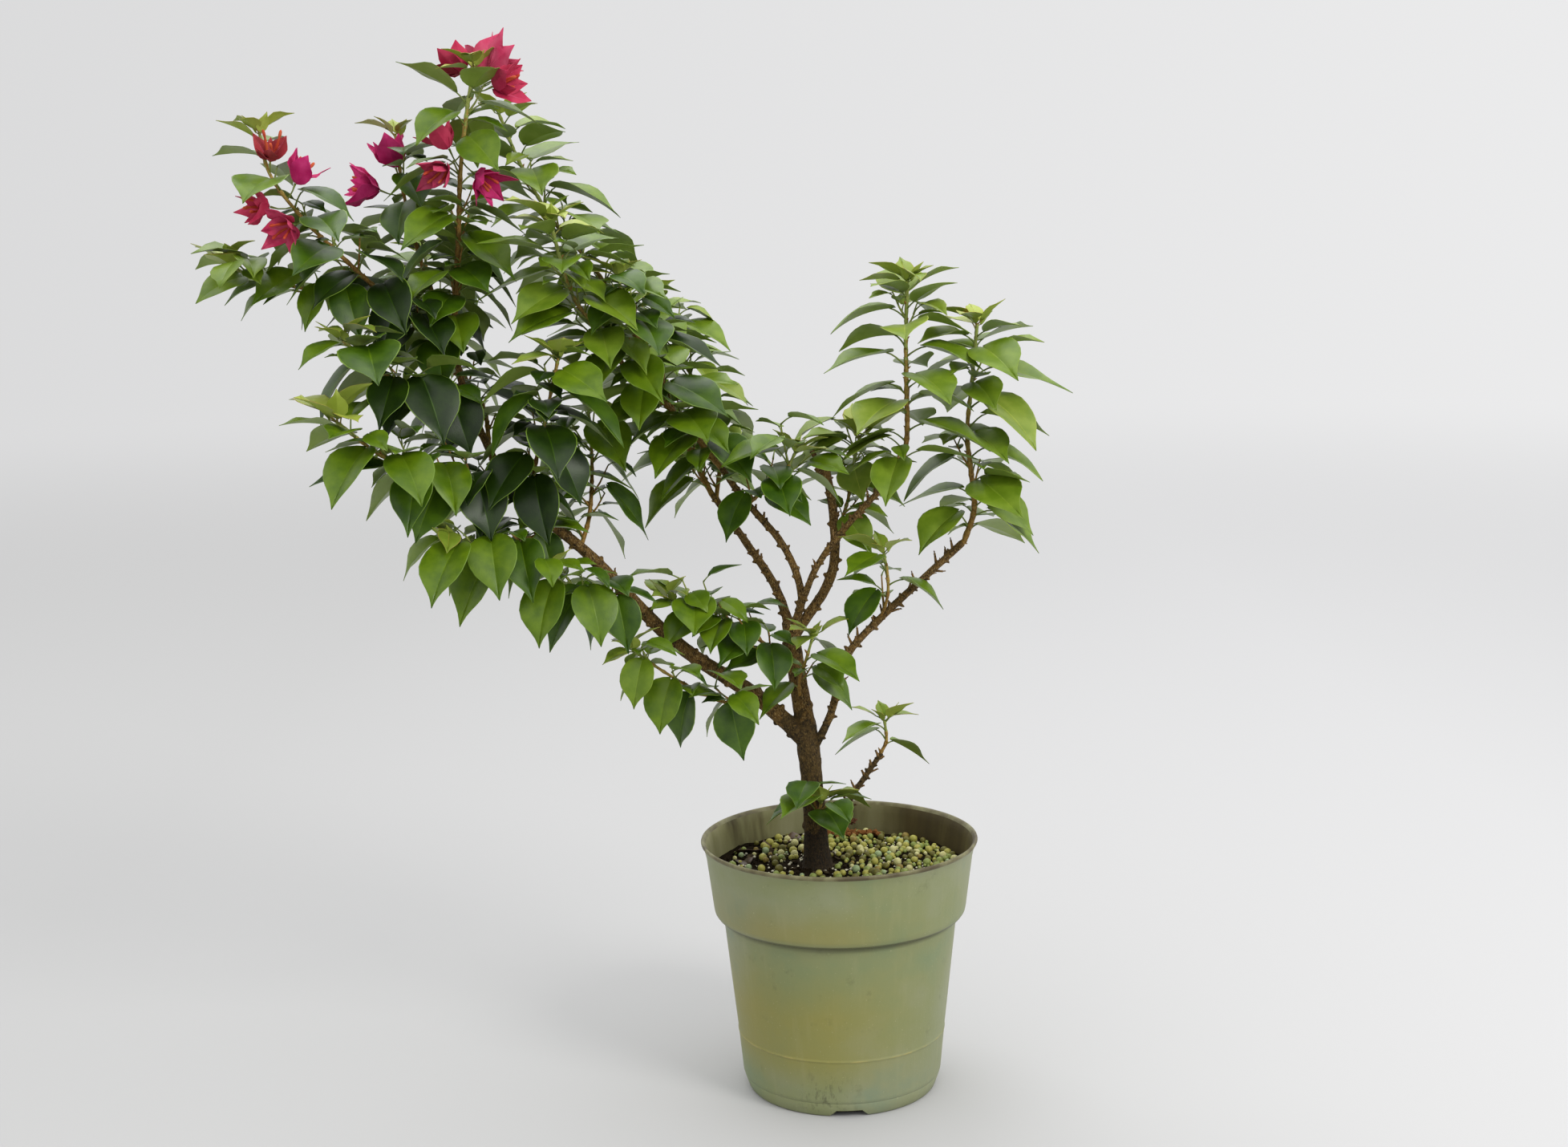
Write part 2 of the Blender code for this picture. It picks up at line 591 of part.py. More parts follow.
def leaf_size(share, full):
    """The blade's length in metres: a little short at the foot of a shoot, small in its tip."""
    if share > 1 - CROWDED_TIP:
        return full * MM * (0.94 - 0.44 * (share - 1 + CROWDED_TIP) / CROWDED_TIP)
    return full * MM * min(1.0, 0.86 + 0.6 * share)


def in_own_space(name, spot, stems):
    """Whether the spot is nearer to this shoot's stem than to any other, with some slack."""
    own = min((spot - p).length for p in stems[name][0])
    for other, (path, _, _) in stems.items():
        if other != name and min((spot - p).length for p in path) < own - SPACE_SLACK * MM:
            return False
    return True


def grow_leaves(name, stems, solids):
    """The leaves of one shoot that fit, as a list of meshes with their material's place."""
    shoot = SHOOTS[name]
    path = stems[name][0]
    length = sum((b - a).length for a, b in zip(path, path[1:]))
    chance = random.Random(name)
    turn = math.radians(shoot.heading)
    leaves = []
    for share in leaf_shares(length, shoot.spacing):
        turn += TURN
        root, tangent = along(path, share)
        young = share > 1 - CROWDED_TIP
        for attempt in range(TRIES):
            swing = (attempt + 1) // 2 * TRY_TURN * (-1) ** attempt
            twist = Matrix.Rotation(turn + swing + chance.uniform(-0.2, 0.2), 3, tangent)
            droop = shoot.droop_foot + (shoot.droop_tip - shoot.droop_foot) * share - YOUNG_LIFT * young
            droop = math.radians(droop + chance.uniform(-12, 22) + 4 * attempt)
            size = leaf_size(share, shoot.leaf) * chance.uniform(0.86, 1.1) * (1 - 0.04 * attempt)
            leaf = make_leaf(root, twist @ level_side(tangent), tangent, size, droop, chance)
            vertices, faces = leaf_mesh(leaf)
            if not well_bent(leaf) or not in_own_space(name, blade_point(leaf, 0.5, 0), stems):
                continue
            if solids.clear_of(vertices, faces, ignore=(name,)) and clear_of_stem(vertices, path):
                solids.add(vertices, faces, name + "_leaf")
                leaves.append((vertices, faces, 1))
                break
    return leaves


def level_side(tangent):
    """The level direction square to the stem, or any square one where the stem is upright."""
    side = tangent.cross(UP)
    return side.normalized() if side.length > 0.15 else tangent.cross(Vector((0, 1, 0))).normalized()


def clear_of_stem(vertices, path):
    """Whether the blade's corners stay off the stem that carries the leaf."""
    for vertex in vertices[6:]:
        for a, b in zip(path, path[1:]):
            t = max(0.0, min(1.0, (vertex - a).dot(b - a) / (b - a).length_squared))
            if (vertex - a.lerp(b, t)).length < 3.0 * MM:
                return False
    return True


def make_bloom(path, share, heading, rise, stalk_length, chance):
    """Three papery bracts on one stalk that springs from the stem."""
    root, _ = along(path, share)
    heading, rise = math.radians(heading), math.radians(rise)
    axis = Vector((math.cos(heading) * math.cos(rise), math.sin(heading) * math.cos(rise), math.sin(rise)))
    centre = root + axis * stalk_length * MM
    vertices, faces = tube_mesh([root, centre + axis * 1.5 * MM], [0.7 * MM, 1.0 * MM], 3)
    parts = [(vertices, outward_faces(vertices, faces), 0)]
    across = axis.orthogonal().normalized()
    for i in range(3):
        out = Matrix.Rotation(2 * math.pi * i / 3 + chance.uniform(-0.2, 0.2), 3, axis) @ across
        along_blade = (axis * 0.85 + out * 0.75).normalized()
        normal = (axis - out).normalized()
        normal = (normal - along_blade * normal.dot(along_blade)).normalized()
        length = BRACT * MM * chance.uniform(0.9, 1.1)
        root = centre - axis * (0.3 + 0.5 * i) * MM
        bract = {"root": root, "base": root + along_blade * 2.2 * MM, "along": along_blade,
                 "normal": normal, "side": along_blade.cross(normal), "length": length,
                 "shape": BRACT_WIDTH, "fold": math.radians(16), "arch": math.radians(-25)}
        parts.append((*leaf_mesh(bract, BRACT_OUTLINE), 2))
    return parts


def build_shoot(name, stem, grown):
    """One mass of foliage: its stem with every leaf and bloom fused on."""
    kinds = ("bark", "leaf", "bract")
    _, vertices, faces = stem
    shoot = add_object(name, vertices, faces, kinds, [0] * len(faces))
    joined = bpy.data.collections.new(name + "_leaves")
    for vertices, faces, kind in grown:
        piece = add_object(name + "_piece", vertices, faces, kinds, [kind] * len(faces))
        bpy.context.scene.collection.objects.unlink(piece)
        joined.objects.link(piece)
    bpy.context.scene.collection.children.link(joined)
    apply_boolean(shoot, "UNION", joined)
    bpy.data.collections.remove(joined)
    tidy_mesh(shoot)


def tidy_mesh(obj):
    """Drops every loose scrap of the mesh but its largest part, and merges faces that lie in one plane."""
    mesh = bmesh.new()
    mesh.from_mesh(obj.data)
    left, parts = set(mesh.verts), []
    while left:
        part, front = set(), [left.pop()]
        while front:
            vertex = front.pop()
            part.add(vertex)
            for edge in vertex.link_edges:
                other = edge.other_vert(vertex)
                if other in left:
                    left.remove(other)
                    front.append(other)
        parts.append(part)
    parts.sort(key=len)
    for part in parts[:-1]:
        bmesh.ops.delete(mesh, geom=list(part), context="VERTS")
    merged = mesh.copy()
    bmesh.ops.dissolve_limit(merged, angle_limit=FLAT_ANGLE, verts=merged.verts[:], edges=merged.edges[:],
                             delimit={"MATERIAL"})
    bmesh.ops.triangulate(merged, faces=merged.faces[:])
    closed = all(edge.is_manifold for edge in merged.edges)
    (merged if closed else mesh).to_mesh(obj.data)
    mesh.free()
    merged.free()


def make_blooms(name, path, solids):
    """The blooms of one shoot, as a list of meshes with their material's place."""
    chance = random.Random(name + "_blooms")
    parts = []
    for shoot, share, heading, rise, stalk_length in BLOOMS:
        if shoot == name:
            parts += make_bloom(path, share, heading, rise, stalk_length, chance)
    for vertices, faces, _ in parts:
        solids.add(vertices, faces, name + "_bloom")
    return parts


def main():
    for old in list(bpy.data.objects):
        bpy.data.objects.remove(old)
    solids = Solids()
    for made in (build_pot(), build_soil()):
        corners = [v.co.copy() for v in made.data.vertices]
        solids.add(corners, [tuple(face.vertices) for face in made.data.polygons], made.name)
    build_limbs(solids)
    stems = build_stems(solids)
    blooms = {name: make_blooms(name, stem[0], solids) for name, stem in stems.items()}
    for name, stem in stems.items():
        build_shoot(name, stem, blooms[name] + grow_leaves(name, stems, solids))


main()
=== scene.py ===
"""The looks of a young potted bougainvillea bush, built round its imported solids.

The boughs, stems and leaves grow by the same rule as the solids, from the same named sizes, and are then
drawn finely: bark with relief and leaf scars, arching blades with a rib, side veins and a pale margin,
papery bracts round slender tubes, side twigs with small leaves, and potting soil with its beads and crumbs.
"""

import functools
import math
import random
from typing import NamedTuple

import bmesh
import bpy
import numpy as np
from mathutils import Matrix, Vector, noise
from mathutils.bvhtree import BVHTree
from mathutils.kdtree import KDTree


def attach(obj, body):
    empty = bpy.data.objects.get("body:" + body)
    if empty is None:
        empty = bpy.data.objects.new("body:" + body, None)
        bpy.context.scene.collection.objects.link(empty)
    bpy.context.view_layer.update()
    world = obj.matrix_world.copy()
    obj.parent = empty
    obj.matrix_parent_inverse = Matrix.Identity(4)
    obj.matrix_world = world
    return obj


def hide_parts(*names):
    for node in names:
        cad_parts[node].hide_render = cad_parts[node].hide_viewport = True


MM = 0.001
UP = Vector((0, 0, 1))
ANY_TURN = 6.28  # radians, for a turn left to chance
GAP = 0.35 * MM  # between neighbouring solids

# Pot: outer radii and heights, in millimetres
POT_HEIGHT = 153.0
RIM_RADIUS = 82.6
BAND_TOP_RADIUS = 80.6
BAND_BOTTOM_RADIUS = 75.6
BAND_BOTTOM = 112.0  # height where the deep band under the rim turns in
SHOULDER_RADIUS = 70.0
SHOULDER = 107.0  # height where the band has met the body
FOOT_TOP_RADIUS = 59.6
FOOT_TOP = 9.6
FOOT_RADIUS = 56.4
WALL = 1.8
FLOOR = 3.0  # thickness
SOIL_LEVEL = 136.0
NOTCHES = 3  # drainage notches in the foot, the first of them at the front
NOTCH_HEIGHT = 4.2
NOTCH_WIDTH = 26.0
NOTCH_TOP_WIDTH = 15.0
NOTCH_DEPTH = 15.0
NOTCH_TURN = math.radians(2.5)

# Limbs: the radius at both ends, then the points that each passes, in millimetres
LIMB_SIDES = 7
LIMB_STEP = 18.0
LIMBS = {
    "trunk": (7.2, 4.8, [(-13, 0, 136), (-15, 0, 179), (-18, 0, 214), (-24, 4, 256), (-27, 5, 283)]),
    "bough_left": (5.2, 2.8, [(-18, 0, 212), (-48, -6, 241), (-94, -16, 276), (-143, -26, 331),
                              (-182, -28, 363)]),
    "bough_leader": (2.4, 1.9, [(-183, -28, 364), (-199, -20, 395), (-212, -11, 426), (-217, -6, 452)]),
    "bough_stub": (3.1, 2.5, [(-24, 5, 276), (-6, 5, 302), (0, 5, 322), (-1, 5, 352), (-6, 5, 381)]),
    "bough_middle": (2.4, 1.9, [(-26, 2, 278), (-20, 0, 300), (-30, 0, 329), (-52, 2, 356), (-66, 3, 376)]),
    "bough_back": (2.8, 2.0, [(-27, 6, 280), (-36, 14, 304), (-54, 28, 330), (-72, 40, 355)]),
    "bough_upright": (2.0, 1.8, [(-22, 0, 290), (-9, -10, 321), (14, -13, 350), (36, -13, 371)]),
    "bough_right": (2.4, 2.1, [(-16, -1, 204), (-4, -6, 229), (6, -8, 264), (27, -6, 287), (52, -2, 309),
                               (75, 1, 329)]),
    "twig_foot": (2.1, 1.5, [(-14, 0, 160), (2, 9, 166), (13, 15, 180), (27, 18, 199)]),
}
TRUNK_FOOT_X = -13.0
ROOT_FLARE = 2.4  # what the trunk's foot adds to its radius
FORK_SWELL = 0.9  # and what the trunk gains where the lowest boughs leave it
FORK_HEIGHT = 210.0
ROOT_REACH = 8  # how far up the flare reaches, and how far the swelling reaches up and down
FORK_REACH = 16

# Leaves
TURN = math.radians(137.5)  # from each leaf to the next, round the stem
LIGHT = Vector((-0.15, -1.0, 0.0))  # the level direction that the blades turn to
SPREAD = 1.5  # how much more the blades reach to the sides than to and from the light
LEAF_WIDTH = 0.82  # of the length
LEAF_THICKNESS = 0.55
STALK = 0.30  # of the blade's length
STALK_RADIUS = 0.55
LEAF_OUTLINE = ((0.20, 0.94), (0.68, 0.56))  # shares of the length and of the half width
RIB_SHARE = 0.38  # where along the blade its middle point is
TRIES = 7
TRY_TURN = 0.35  # how much further each try turns a leaf that doesn't fit
CROWDED_TIP = 0.16  # the last share of a stem, where the leaves are young and stand up
YOUNG_LIFT = 25  # degrees that those stand higher
FOLD = (10, 26)  # degrees that each half of a blade is folded up
ARCH = (12, 38)  # degrees that a blade bends down on its way to the tip
FACING = (0.4, 1.2)  # how far a drooping blade turns to the light
SIDEWAYS = 0.7  # how much less it turns where it points sideways
STEM_SIDES = 4
STEM_STEP = 18.0
STEM_CLEARANCE = 3.0  # between a blade's corners and the axis of its own stem
SPACE_SLACK = 6.0  # how far a leaf's middle may pass the halfway line to the next shoot


class Shoot(NamedTuple):
    """One leafy shoot. Millimetres and degrees."""

    foot_radius: float
    tip_radius: float
    spacing: float  # from leaf to leaf along the stem
    leaf: float  # length of a full-grown blade
    droop_foot: float  # slope of the blades at the shoot's foot
    droop_tip: float
    heading: float  # of the first leaf, round the stem
    points: list  # that the stem passes


SHOOTS = {
    "foliage_top": Shoot(1.8, 1.0, 5.6, 36, 26, -4, 200, [
        (-217, -6, 453), (-214, -9, 482), (-211, -12, 510), (-208, -14, 546), (-203, -16, 578),
        (-198, -16, 604)]),
    "foliage_inner": Shoot(1.5, 0.9, 6.0, 35, 24, 2, 80, [
        (-216, -7, 444), (-228, 6, 474), (-239, 18, 502), (-247, 24, 536), (-251, 27, 570)]),
    "foliage_left": Shoot(1.7, 0.9, 6.0, 37, 34, 0, 250, [
        (-215, -8, 438), (-236, -20, 463), (-263, -42, 493), (-290, -52, 523), (-305, -56, 546),
        (-309, -58, 568)]),
    "foliage_far_left": Shoot(1.3, 0.8, 6.2, 33, 26, 0, 170, [
        (-262, -41, 491), (-284, -34, 483), (-309, -34, 487), (-322, -37, 490), (-333, -40, 497)]),
    "foliage_flank": Shoot(1.4, 0.9, 7.0, 39, 40, 14, 120, [
        (-208, -14, 412), (-224, -38, 424), (-246, -58, 436), (-268, -66, 456)]),
    "foliage_front": Shoot(1.4, 0.9, 6.6, 40, 44, 22, 40, [
        (-174, -29, 357), (-168, -46, 384), (-160, -56, 412), (-152, -56, 444)]),
    "foliage_low": Shoot(1.7, 0.9, 6.0, 38, 40, 0, 210, [
        (-184, -29, 364), (-200, -46, 377), (-225, -64, 381), (-247, -80, 394), (-269, -90, 414)]),
    "foliage_drop": Shoot(1.3, 0.9, 6.0, 40, 50, 34, 330, [
        (-162, -28, 347), (-174, -44, 342), (-194, -58, 340), (-216, -66, 346)]),
    "foliage_middle": Shoot(1.8, 0.9, 5.4, 37, 18, -4, 300, [
        (-67, 3, 377), (-89, -5, 406), (-116, -20, 434), (-137, -32, 464), (-147, -34, 482),
        (-156, -35, 517)]),
    "foliage_elbow": Shoot(1.2, 0.8, 7.0, 34, 30, 6, 200, [
        (-50, 2, 354), (-42, -10, 362), (-30, -16, 372), (-22, -18, 386)]),
    "foliage_inward": Shoot(1.3, 0.8, 7.0, 36, 30, 8, 200, [
        (-105, -14, 424), (-108, -24, 446), (-116, -28, 468), (-120, -28, 488)]),
    "foliage_back": Shoot(1.9, 0.9, 7.4, 42, 8, -4, 30, [
        (-73, 41, 356), (-84, 49, 378), (-101, 59, 417), (-121, 67, 458), (-144, 71, 494),
        (-166, 73, 520), (-184, 72, 553), (-196, 69, 584)]),
    "foliage_outer": Shoot(1.6, 0.9, 7.2, 34, 10, 0, 0, [
        (-70, 38, 352), (-68, 58, 380), (-78, 74, 410), (-94, 82, 442), (-110, 84, 470)]),
    "foliage_rear": Shoot(1.6, 0.9, 9.8, 38, 20, 6, 60, [
        (-197, -20, 390), (-204, 12, 412), (-222, 44, 434), (-238, 62, 466), (-244, 68, 500)]),
    "foliage_under": Shoot(1.5, 0.9, 7.6, 37, 40, 16, 20, [
        (-146, -27, 334), (-142, -8, 352), (-142, 16, 380), (-144, 24, 412)]),
    "foliage_bough": Shoot(1.3, 0.8, 6.8, 36, 50, 36, 240, [
        (-122, -22, 304), (-130, -38, 306), (-146, -50, 312), (-160, -56, 322)]),
    "foliage_bough_low": Shoot(1.2, 0.8, 6.6, 30, 54, 44, 100, [
        (-50, -9, 239), (-62, -22, 240), (-80, -29, 249), (-100, -33, 262), (-118, -36, 276)]),
    "foliage_crotch": Shoot(1.4, 0.8, 6.2, 31, 20, 4, 150, [
        (-24, 3, 250), (-38, -4, 268), (-56, -8, 282), (-78, -10, 292), (-96, -12, 300)]),
    "foliage_trunk": Shoot(1.2, 0.8, 7.0, 31, 30, 10, 250, [
        (-22, -2, 240), (-22, -12, 252), (-18, -16, 264), (-14, -18, 278)]),
    "foliage_fork": Shoot(1.1, 0.8, 6.8, 33, 20, 4, 90, [
        (26, -6, 286), (30, -12, 300), (30, -14, 314), (28, -14, 326)]),
    "foliage_stub": Shoot(1.2, 0.8, 6.4, 31, 22, 4, 190, [
        (-1, 5, 330), (8, 14, 352), (12, 20, 372), (16, 24, 390)]),
    "foliage_upright": Shoot(1.7, 0.9, 5.4, 38, 10, 0, 180, [
        (37, -13, 372), (42, -12, 392), (42, -12, 424), (42, -12, 450), (43, -12, 482)]),
    "foliage_right": Shoot(1.9, 0.9, 5.8, 41, 12, 0, 10, [
        (76, 1, 330), (82, 2, 349), (80, 2, 372), (78, 2, 394), (81, 2, 424), (84, 2, 456)]),
    "foliage_foot": Shoot(1.0, 0.7, 3.0, 30, 10, 0, 190, [
        (-15, -2, 168), (-12, -11, 172), (-10, -15, 179)]),
    "foliage_foot_right": Shoot(1.2, 0.8, 5.5, 26, 8, -6, 350, [
        (27, 18, 200), (30, 18, 207), (29, 18, 219)]),
}

# Blooms of each shoot: how far along it, heading and rise in degrees, length of the stalk, colour
BLOOMS = {
    "foliage_top": (
        (0.95, 60, 50, 9, "bract_pink"), (0.95, 20, 34, 12, "bract_pink"), (0.93, 130, 42, 12, "bract_rose"),
        (0.91, 345, 10, 14, "bract_rose"), (0.63, 165, 60, 13, "bract_rose"),
        (0.69, 225, -35, 13, "bract_pink"), (0.66, 325, -35, 13, "bract_magenta")),
    "foliage_inner": ((0.79, 205, 68, 9, "bract_magenta"), (0.73, 195, 12, 14, "bract_magenta")),
    "foliage_left": (
        (0.87, 290, 60, 7, "bract_red"), (0.77, 5, 60, 10, "bract_magenta"), (0.74, 215, 0, 13, "bract_rose"),
        (0.69, 240, -20, 9, "bract_pink")),
}
BRACT = 22.0
BRACT_WIDTH = 0.72
BRACT_FOLD = math.radians(16)
BRACT_ARCH = math.radians(-25)  # a bract curls up towards its tip
BRACT_OUTLINE = ((0.42, 1.0),)

# The freshness of each shoot's green, with painted shade and light in it: the darkest are in the crown's
# shaded heart, the palest at its sunny edges
FRESHNESS_AND_SHADE = {
    "foliage_top": 1.45, "foliage_inner": -0.5, "foliage_left": 0.2, "foliage_far_left": 1.8,
    "foliage_flank": 0.1, "foliage_front": -0.6, "foliage_low": 0.7, "foliage_drop": 1.1,
    "foliage_middle": 1.8, "foliage_elbow": 1.3, "foliage_inward": 0.4, "foliage_back": 2.6,
    "foliage_outer": 3.0, "foliage_rear": -0.7, "foliage_under": 1.0, "foliage_bough": 1.0,
    "foliage_bough_low": 1.5, "foliage_crotch": 1.2, "foliage_trunk": 1.6, "foliage_fork": 1.8,
    "foliage_stub": 3.4, "foliage_upright": 3.2, "foliage_right": 3.0, "foliage_foot": 1.1,
    "foliage_foot_right": 2.5,
}
BRONZE_TIPS = ("foliage_left", "foliage_inner", "foliage_right", "foliage_top")  # with some bronze leaves
BRIGHT_TIPS = ("foliage_low", "foliage_far_left", "foliage_middle", "foliage_stub")  # yellow-green, larger

# Blades: for each row along one, its share of the length and of the half width
BLADE = ((0.0, 0.06), (0.03, 0.38), (0.08, 0.66), (0.15, 0.86), (0.25, 0.98), (0.36, 1.0), (0.48, 0.94),
         (0.60, 0.79), (0.71, 0.57), (0.80, 0.36), (0.88, 0.19), (0.95, 0.08), (1.0, 0.015))
SMALL_BLADE = ((0.0, 0.08), (0.08, 0.6), (0.22, 0.95), (0.40, 1.0), (0.60, 0.8), (0.80, 0.36), (1.0, 0.02))
BRACT_BLADE = ((0.0, 0.1), (0.06, 0.5), (0.15, 0.8), (0.28, 0.98), (0.42, 1.0), (0.58, 0.9), (0.74, 0.66),
               (0.88, 0.34), (1.0, 0.03))
ACROSS = (-1.0, -0.96, -0.5, -0.03, 0.0, 0.03, 0.5, 0.96, 1.0)  # the columns over a blade's width
BLADE_THICKNESS = 0.3
VEIN_RELIEF = 0.11
VEIN_SLANT = 0.07  # how far side veins run forward, as a share of the blade's length
LOBES = 0.05  # how far the blade's base reaches back beside the stalk
WAVE = 0.8  # how far the margin of a full blade waves
TIP_CURL = 0.7  # extra bend of the drawn-out tip
FULL_BLADE = 36.0  # the length that waves and stalks are given for
DRAWN_LEAF = 0.96  # of the length that the rule gives
ROLL = 16  # degrees that a blade may roll about its rib

# Blooms as drawn
DRAWN_BLOOM = {"foliage_top": 0.9, "foliage_inner": 1.0, "foliage_left": 0.84}  # of the solids' size
YOUNG_BLOOM = 0.72  # of that, for the red ones, which have just opened
BRACT_RELIEF = 0.22
BRACT_WAVE = 2.2
FLOWER_SHARES = (0.0, 0.2, 0.45, 0.7, 0.85, 0.95, 1.0)  # along a flower's tube
FLOWER_RADII = (0.35, 0.75, 0.85, 0.6, 0.95, 0.8, 0.2)

# Side twigs, which the solids leave out
TWIG_CHANCE = 0.95  # that a leaf has one beside it
SPARSE = {  # and that chance on shoots where they are fewer
    "foliage_top": 0.55, "foliage_inner": 0.6, "foliage_left": 0.5, "foliage_upright": 0.35,
    "foliage_right": 0.35, "foliage_fork": 0.3, "foliage_trunk": 0.3, "foliage_foot": 0.2,
    "foliage_foot_right": 0.0, "foliage_bough_low": 0.6,
}
TWIG_LENGTH = (8, 22)
TWIG_LEAVES = 4
TWIG_LEAF = (15, 31)
TWIG_TRIES = 4
TWIG_RADIUS = 0.5
ROSETTE = 5  # young leaves at a shoot's tip
ROSETTE_LEAF = (15, 23)
BRIGHT_ROSETTE = 1.35  # how much larger they are at bright tips

# Stems and bark as drawn
FINE_STEP = 1.6
STEM_RING = 8  # sides of a drawn stem
BUDS_END = 0.9  # share of the stem where the last buds may be
BARE_CHANCE = 0.35  # that a leaf has no bud or stub beside it
BARK_KINDS = ("bark_base", "bark_old", "bark")  # from the foot up
OLD_BARK = (160, 226)  # the heights of the borders between them
BARK_VOXEL = 0.62
# Knots: the first one's distance from the limb's foot, how far they stand out, how far apart they are
TRUNK_KNOTS = (12.0, (0.5, 0.9), (11, 17))
BOUGH_KNOTS = (9.0, (1.0, 2.1), (3.4, 5.8))
KNOBBLY = {"bough_right": 1.4, "bough_upright": 1.3, "twig_foot": 1.3}  # where the scars stand out further
# Spurs: the bough, their number, where along it they begin, their size
SPURS = (
    ("bough_right", 34, 0.2, 1.25), ("bough_upright", 16, 0.2, 1.0), ("bough_stub", 12, 0.5, 0.8),
    ("bough_middle", 9, 0.3, 0.7), ("bough_back", 8, 0.3, 0.6), ("twig_foot", 18, 0.2, 1.0),
    ("bough_left", 8, 0.3, 0.6),
)
FORKED_SPUR = 5.4  # spurs longer than this are forked
DRY_STUB = [(-9, -5, 162.5), (-3, -7, 161.0), (3, -8, 162.5), (9, -8, 165.0)]
# Knobs of cut twigs at the sawn top of the stub: where they are from its middle, and their radius
CUT_KNOBS = ((-6.5, 1.5, 3.0, 1.5), (2.6, 1.0, -9.0, 1.3), (-4.6, -1.0, -7.0, 1.4))

# Pot and soil as drawn
POT_TURNS = 144
# The fine outline of the pot, from the middle of its underside, over the rim and down to the floor inside
OUTSIDE = (
    (0, 1.1), (48.5, 1.1), (49.8, 0.0), (55.4, 0.0), (56.3, 0.5), (56.9, 1.4), (59.3, 8.3), (59.15, 8.7),
    (59.5, 9.2), (59.9, 10.4), (60.0, 11.4), (62.2, 34.2), (62.3, 35.0), (62.6, 35.4), (62.65, 35.9),
    (62.4, 36.4), (62.45, 37.2), (65.7, 67.0), (69.7, 104.2), (69.9, 105.6), (70.1, 106.8), (70.9, 107.2),
    (72.5, 107.4), (74.0, 108.2), (75.1, 109.8), (75.6, 112.2), (75.8, 113.8), (77.7, 129.0), (79.5, 143.0),
    (80.2, 146.2), (81.0, 148.8), (81.9, 150.4),
)
RIM = ((82.4, 151.2), (82.6, 151.9), (82.4, 152.6), (81.9, 152.95), (81.3, 152.9), (80.6, 152.3))
INSIDE = ((79.7, 151.0), (78.8, 148.6), (78.1, 146.0), (75.9, 129.0), (73.8, 113.5), (68.2, 108.0),
          (58.0, 12.0), (57.0, 3.0), (0, 3.0))
WOBBLE = 0.35  # how far the thin wall is out of round
SOIL_RINGS = 60
RUST_HEAPS = ((17, 62, 34), (-4, 61, 20))  # their middles, and how many bits are tried
# Dead leaves: x, y, heading and length
LITTER = ((-52, 34, 20, 26), (-40, 46, 75, 22), (-58, 14, 110, 20), (-30, 56, 150, 18))
LITTER_BEND = (math.radians(22), math.radians(50))  # fold and arch

# Floor, light and camera, in metres
CAMERA_PLACE = (-0.030, -1.2, 0.503)
CAMERA_PITCH = 9.01
CAMERA_ROLL = -1.03
CAMERA_LENS = 47.53
HAZE = ((0.70, 0.70, 0.705, 1.0), (0.84, 0.84, 0.845, 1.0))  # the horizon, left and right in the view
HAZE_REACH = 0.4  # the sideways part of the directions to those edges
ZENITH = (1.55, 1.55, 1.55, 1.0)
FLOOR_REACH = 60.0
FLOOR_FADE = (0.9, 5.5)  # from here to there the floor turns to haze
# painted shade and light: the near floor is darker left of the pot and paler right of it, as the light falls
# from the right
FLOOR_SHADE_TINTS = ((0.42, 0.42, 0.42, 1.0), (0.5, 0.5, 0.505, 1.0))  # left and right of the pot
BLACK = (0.0, 0.0, 0.0, 1.0)


# ---------------------------------------------------------------- materials

def linear(red, green, blue):
    """A colour given in 0 to 255, as Blender's linear values."""
    values = [c / 255 for c in (red, green, blue)]
    return (*[c / 12.92 if c <= 0.04045 else ((c + 0.055) / 1.055) ** 2.4 for c in values], 1.0)


class Nodes:
    """A tree of shader nodes that is built in short calls."""

    def __init__(self, tree):
        self.tree = tree

    def feed(self, socket, value):
        """Links the socket to another one, or sets it to a plain value."""
        if isinstance(value, bpy.types.NodeSocket):
            self.tree.links.new(value, socket)
        else:
            socket.default_value = value

    def node(self, kind, inputs=(), **settings):
        """A new node with these settings and these inputs."""
        made = self.tree.nodes.new(kind)
        for key, value in settings.items():
            setattr(made, key, value)
        for key, value in dict(inputs).items():
            self.feed(made.inputs[key], value)
        return made

    def spread(self, value, low, high, kind="LINEAR"):
        """The value with its range from low to high spread over 0 to 1."""
        made = self.node("ShaderNodeMapRange", {"Value": value, "From Min": low, "From Max": high},
                         interpolation_type=kind)
        return made.outputs["Result"]

    def times(self, a, b):
        """The product of two values."""
        return self.node("ShaderNodeMath", {0: a, 1: b}, operation="MULTIPLY").outputs[0]

    def plus(self, a, b):
        """The sum of two values."""
        return self.node("ShaderNodeMath", {0: a, 1: b}, operation="ADD").outputs[0]

    def mix(self, share, first, second):
        """The first colour where share is 0, the second where it is 1."""
        return self.node("ShaderNodeMix", {0: share, 6: first, 7: second}, data_type="RGBA").outputs[2]

    def ramp(self, value, *stops):
        """A colour for each value. A stop is its position and its colour in 0 to 255."""
        made = self.node("ShaderNodeValToRGB", {"Fac": value})
        elements = made.color_ramp.elements
        while len(elements) < len(stops):
            elements.new(0.5)
        for element, (position, *colour) in zip(elements, stops):
            element.position = position
            element.color = linear(*colour)
        return made.outputs["Color"]

    def axes(self, place):
        """The three coordinates of a place or direction."""
        return tuple(self.node("ShaderNodeSeparateXYZ", {0: place}).outputs)


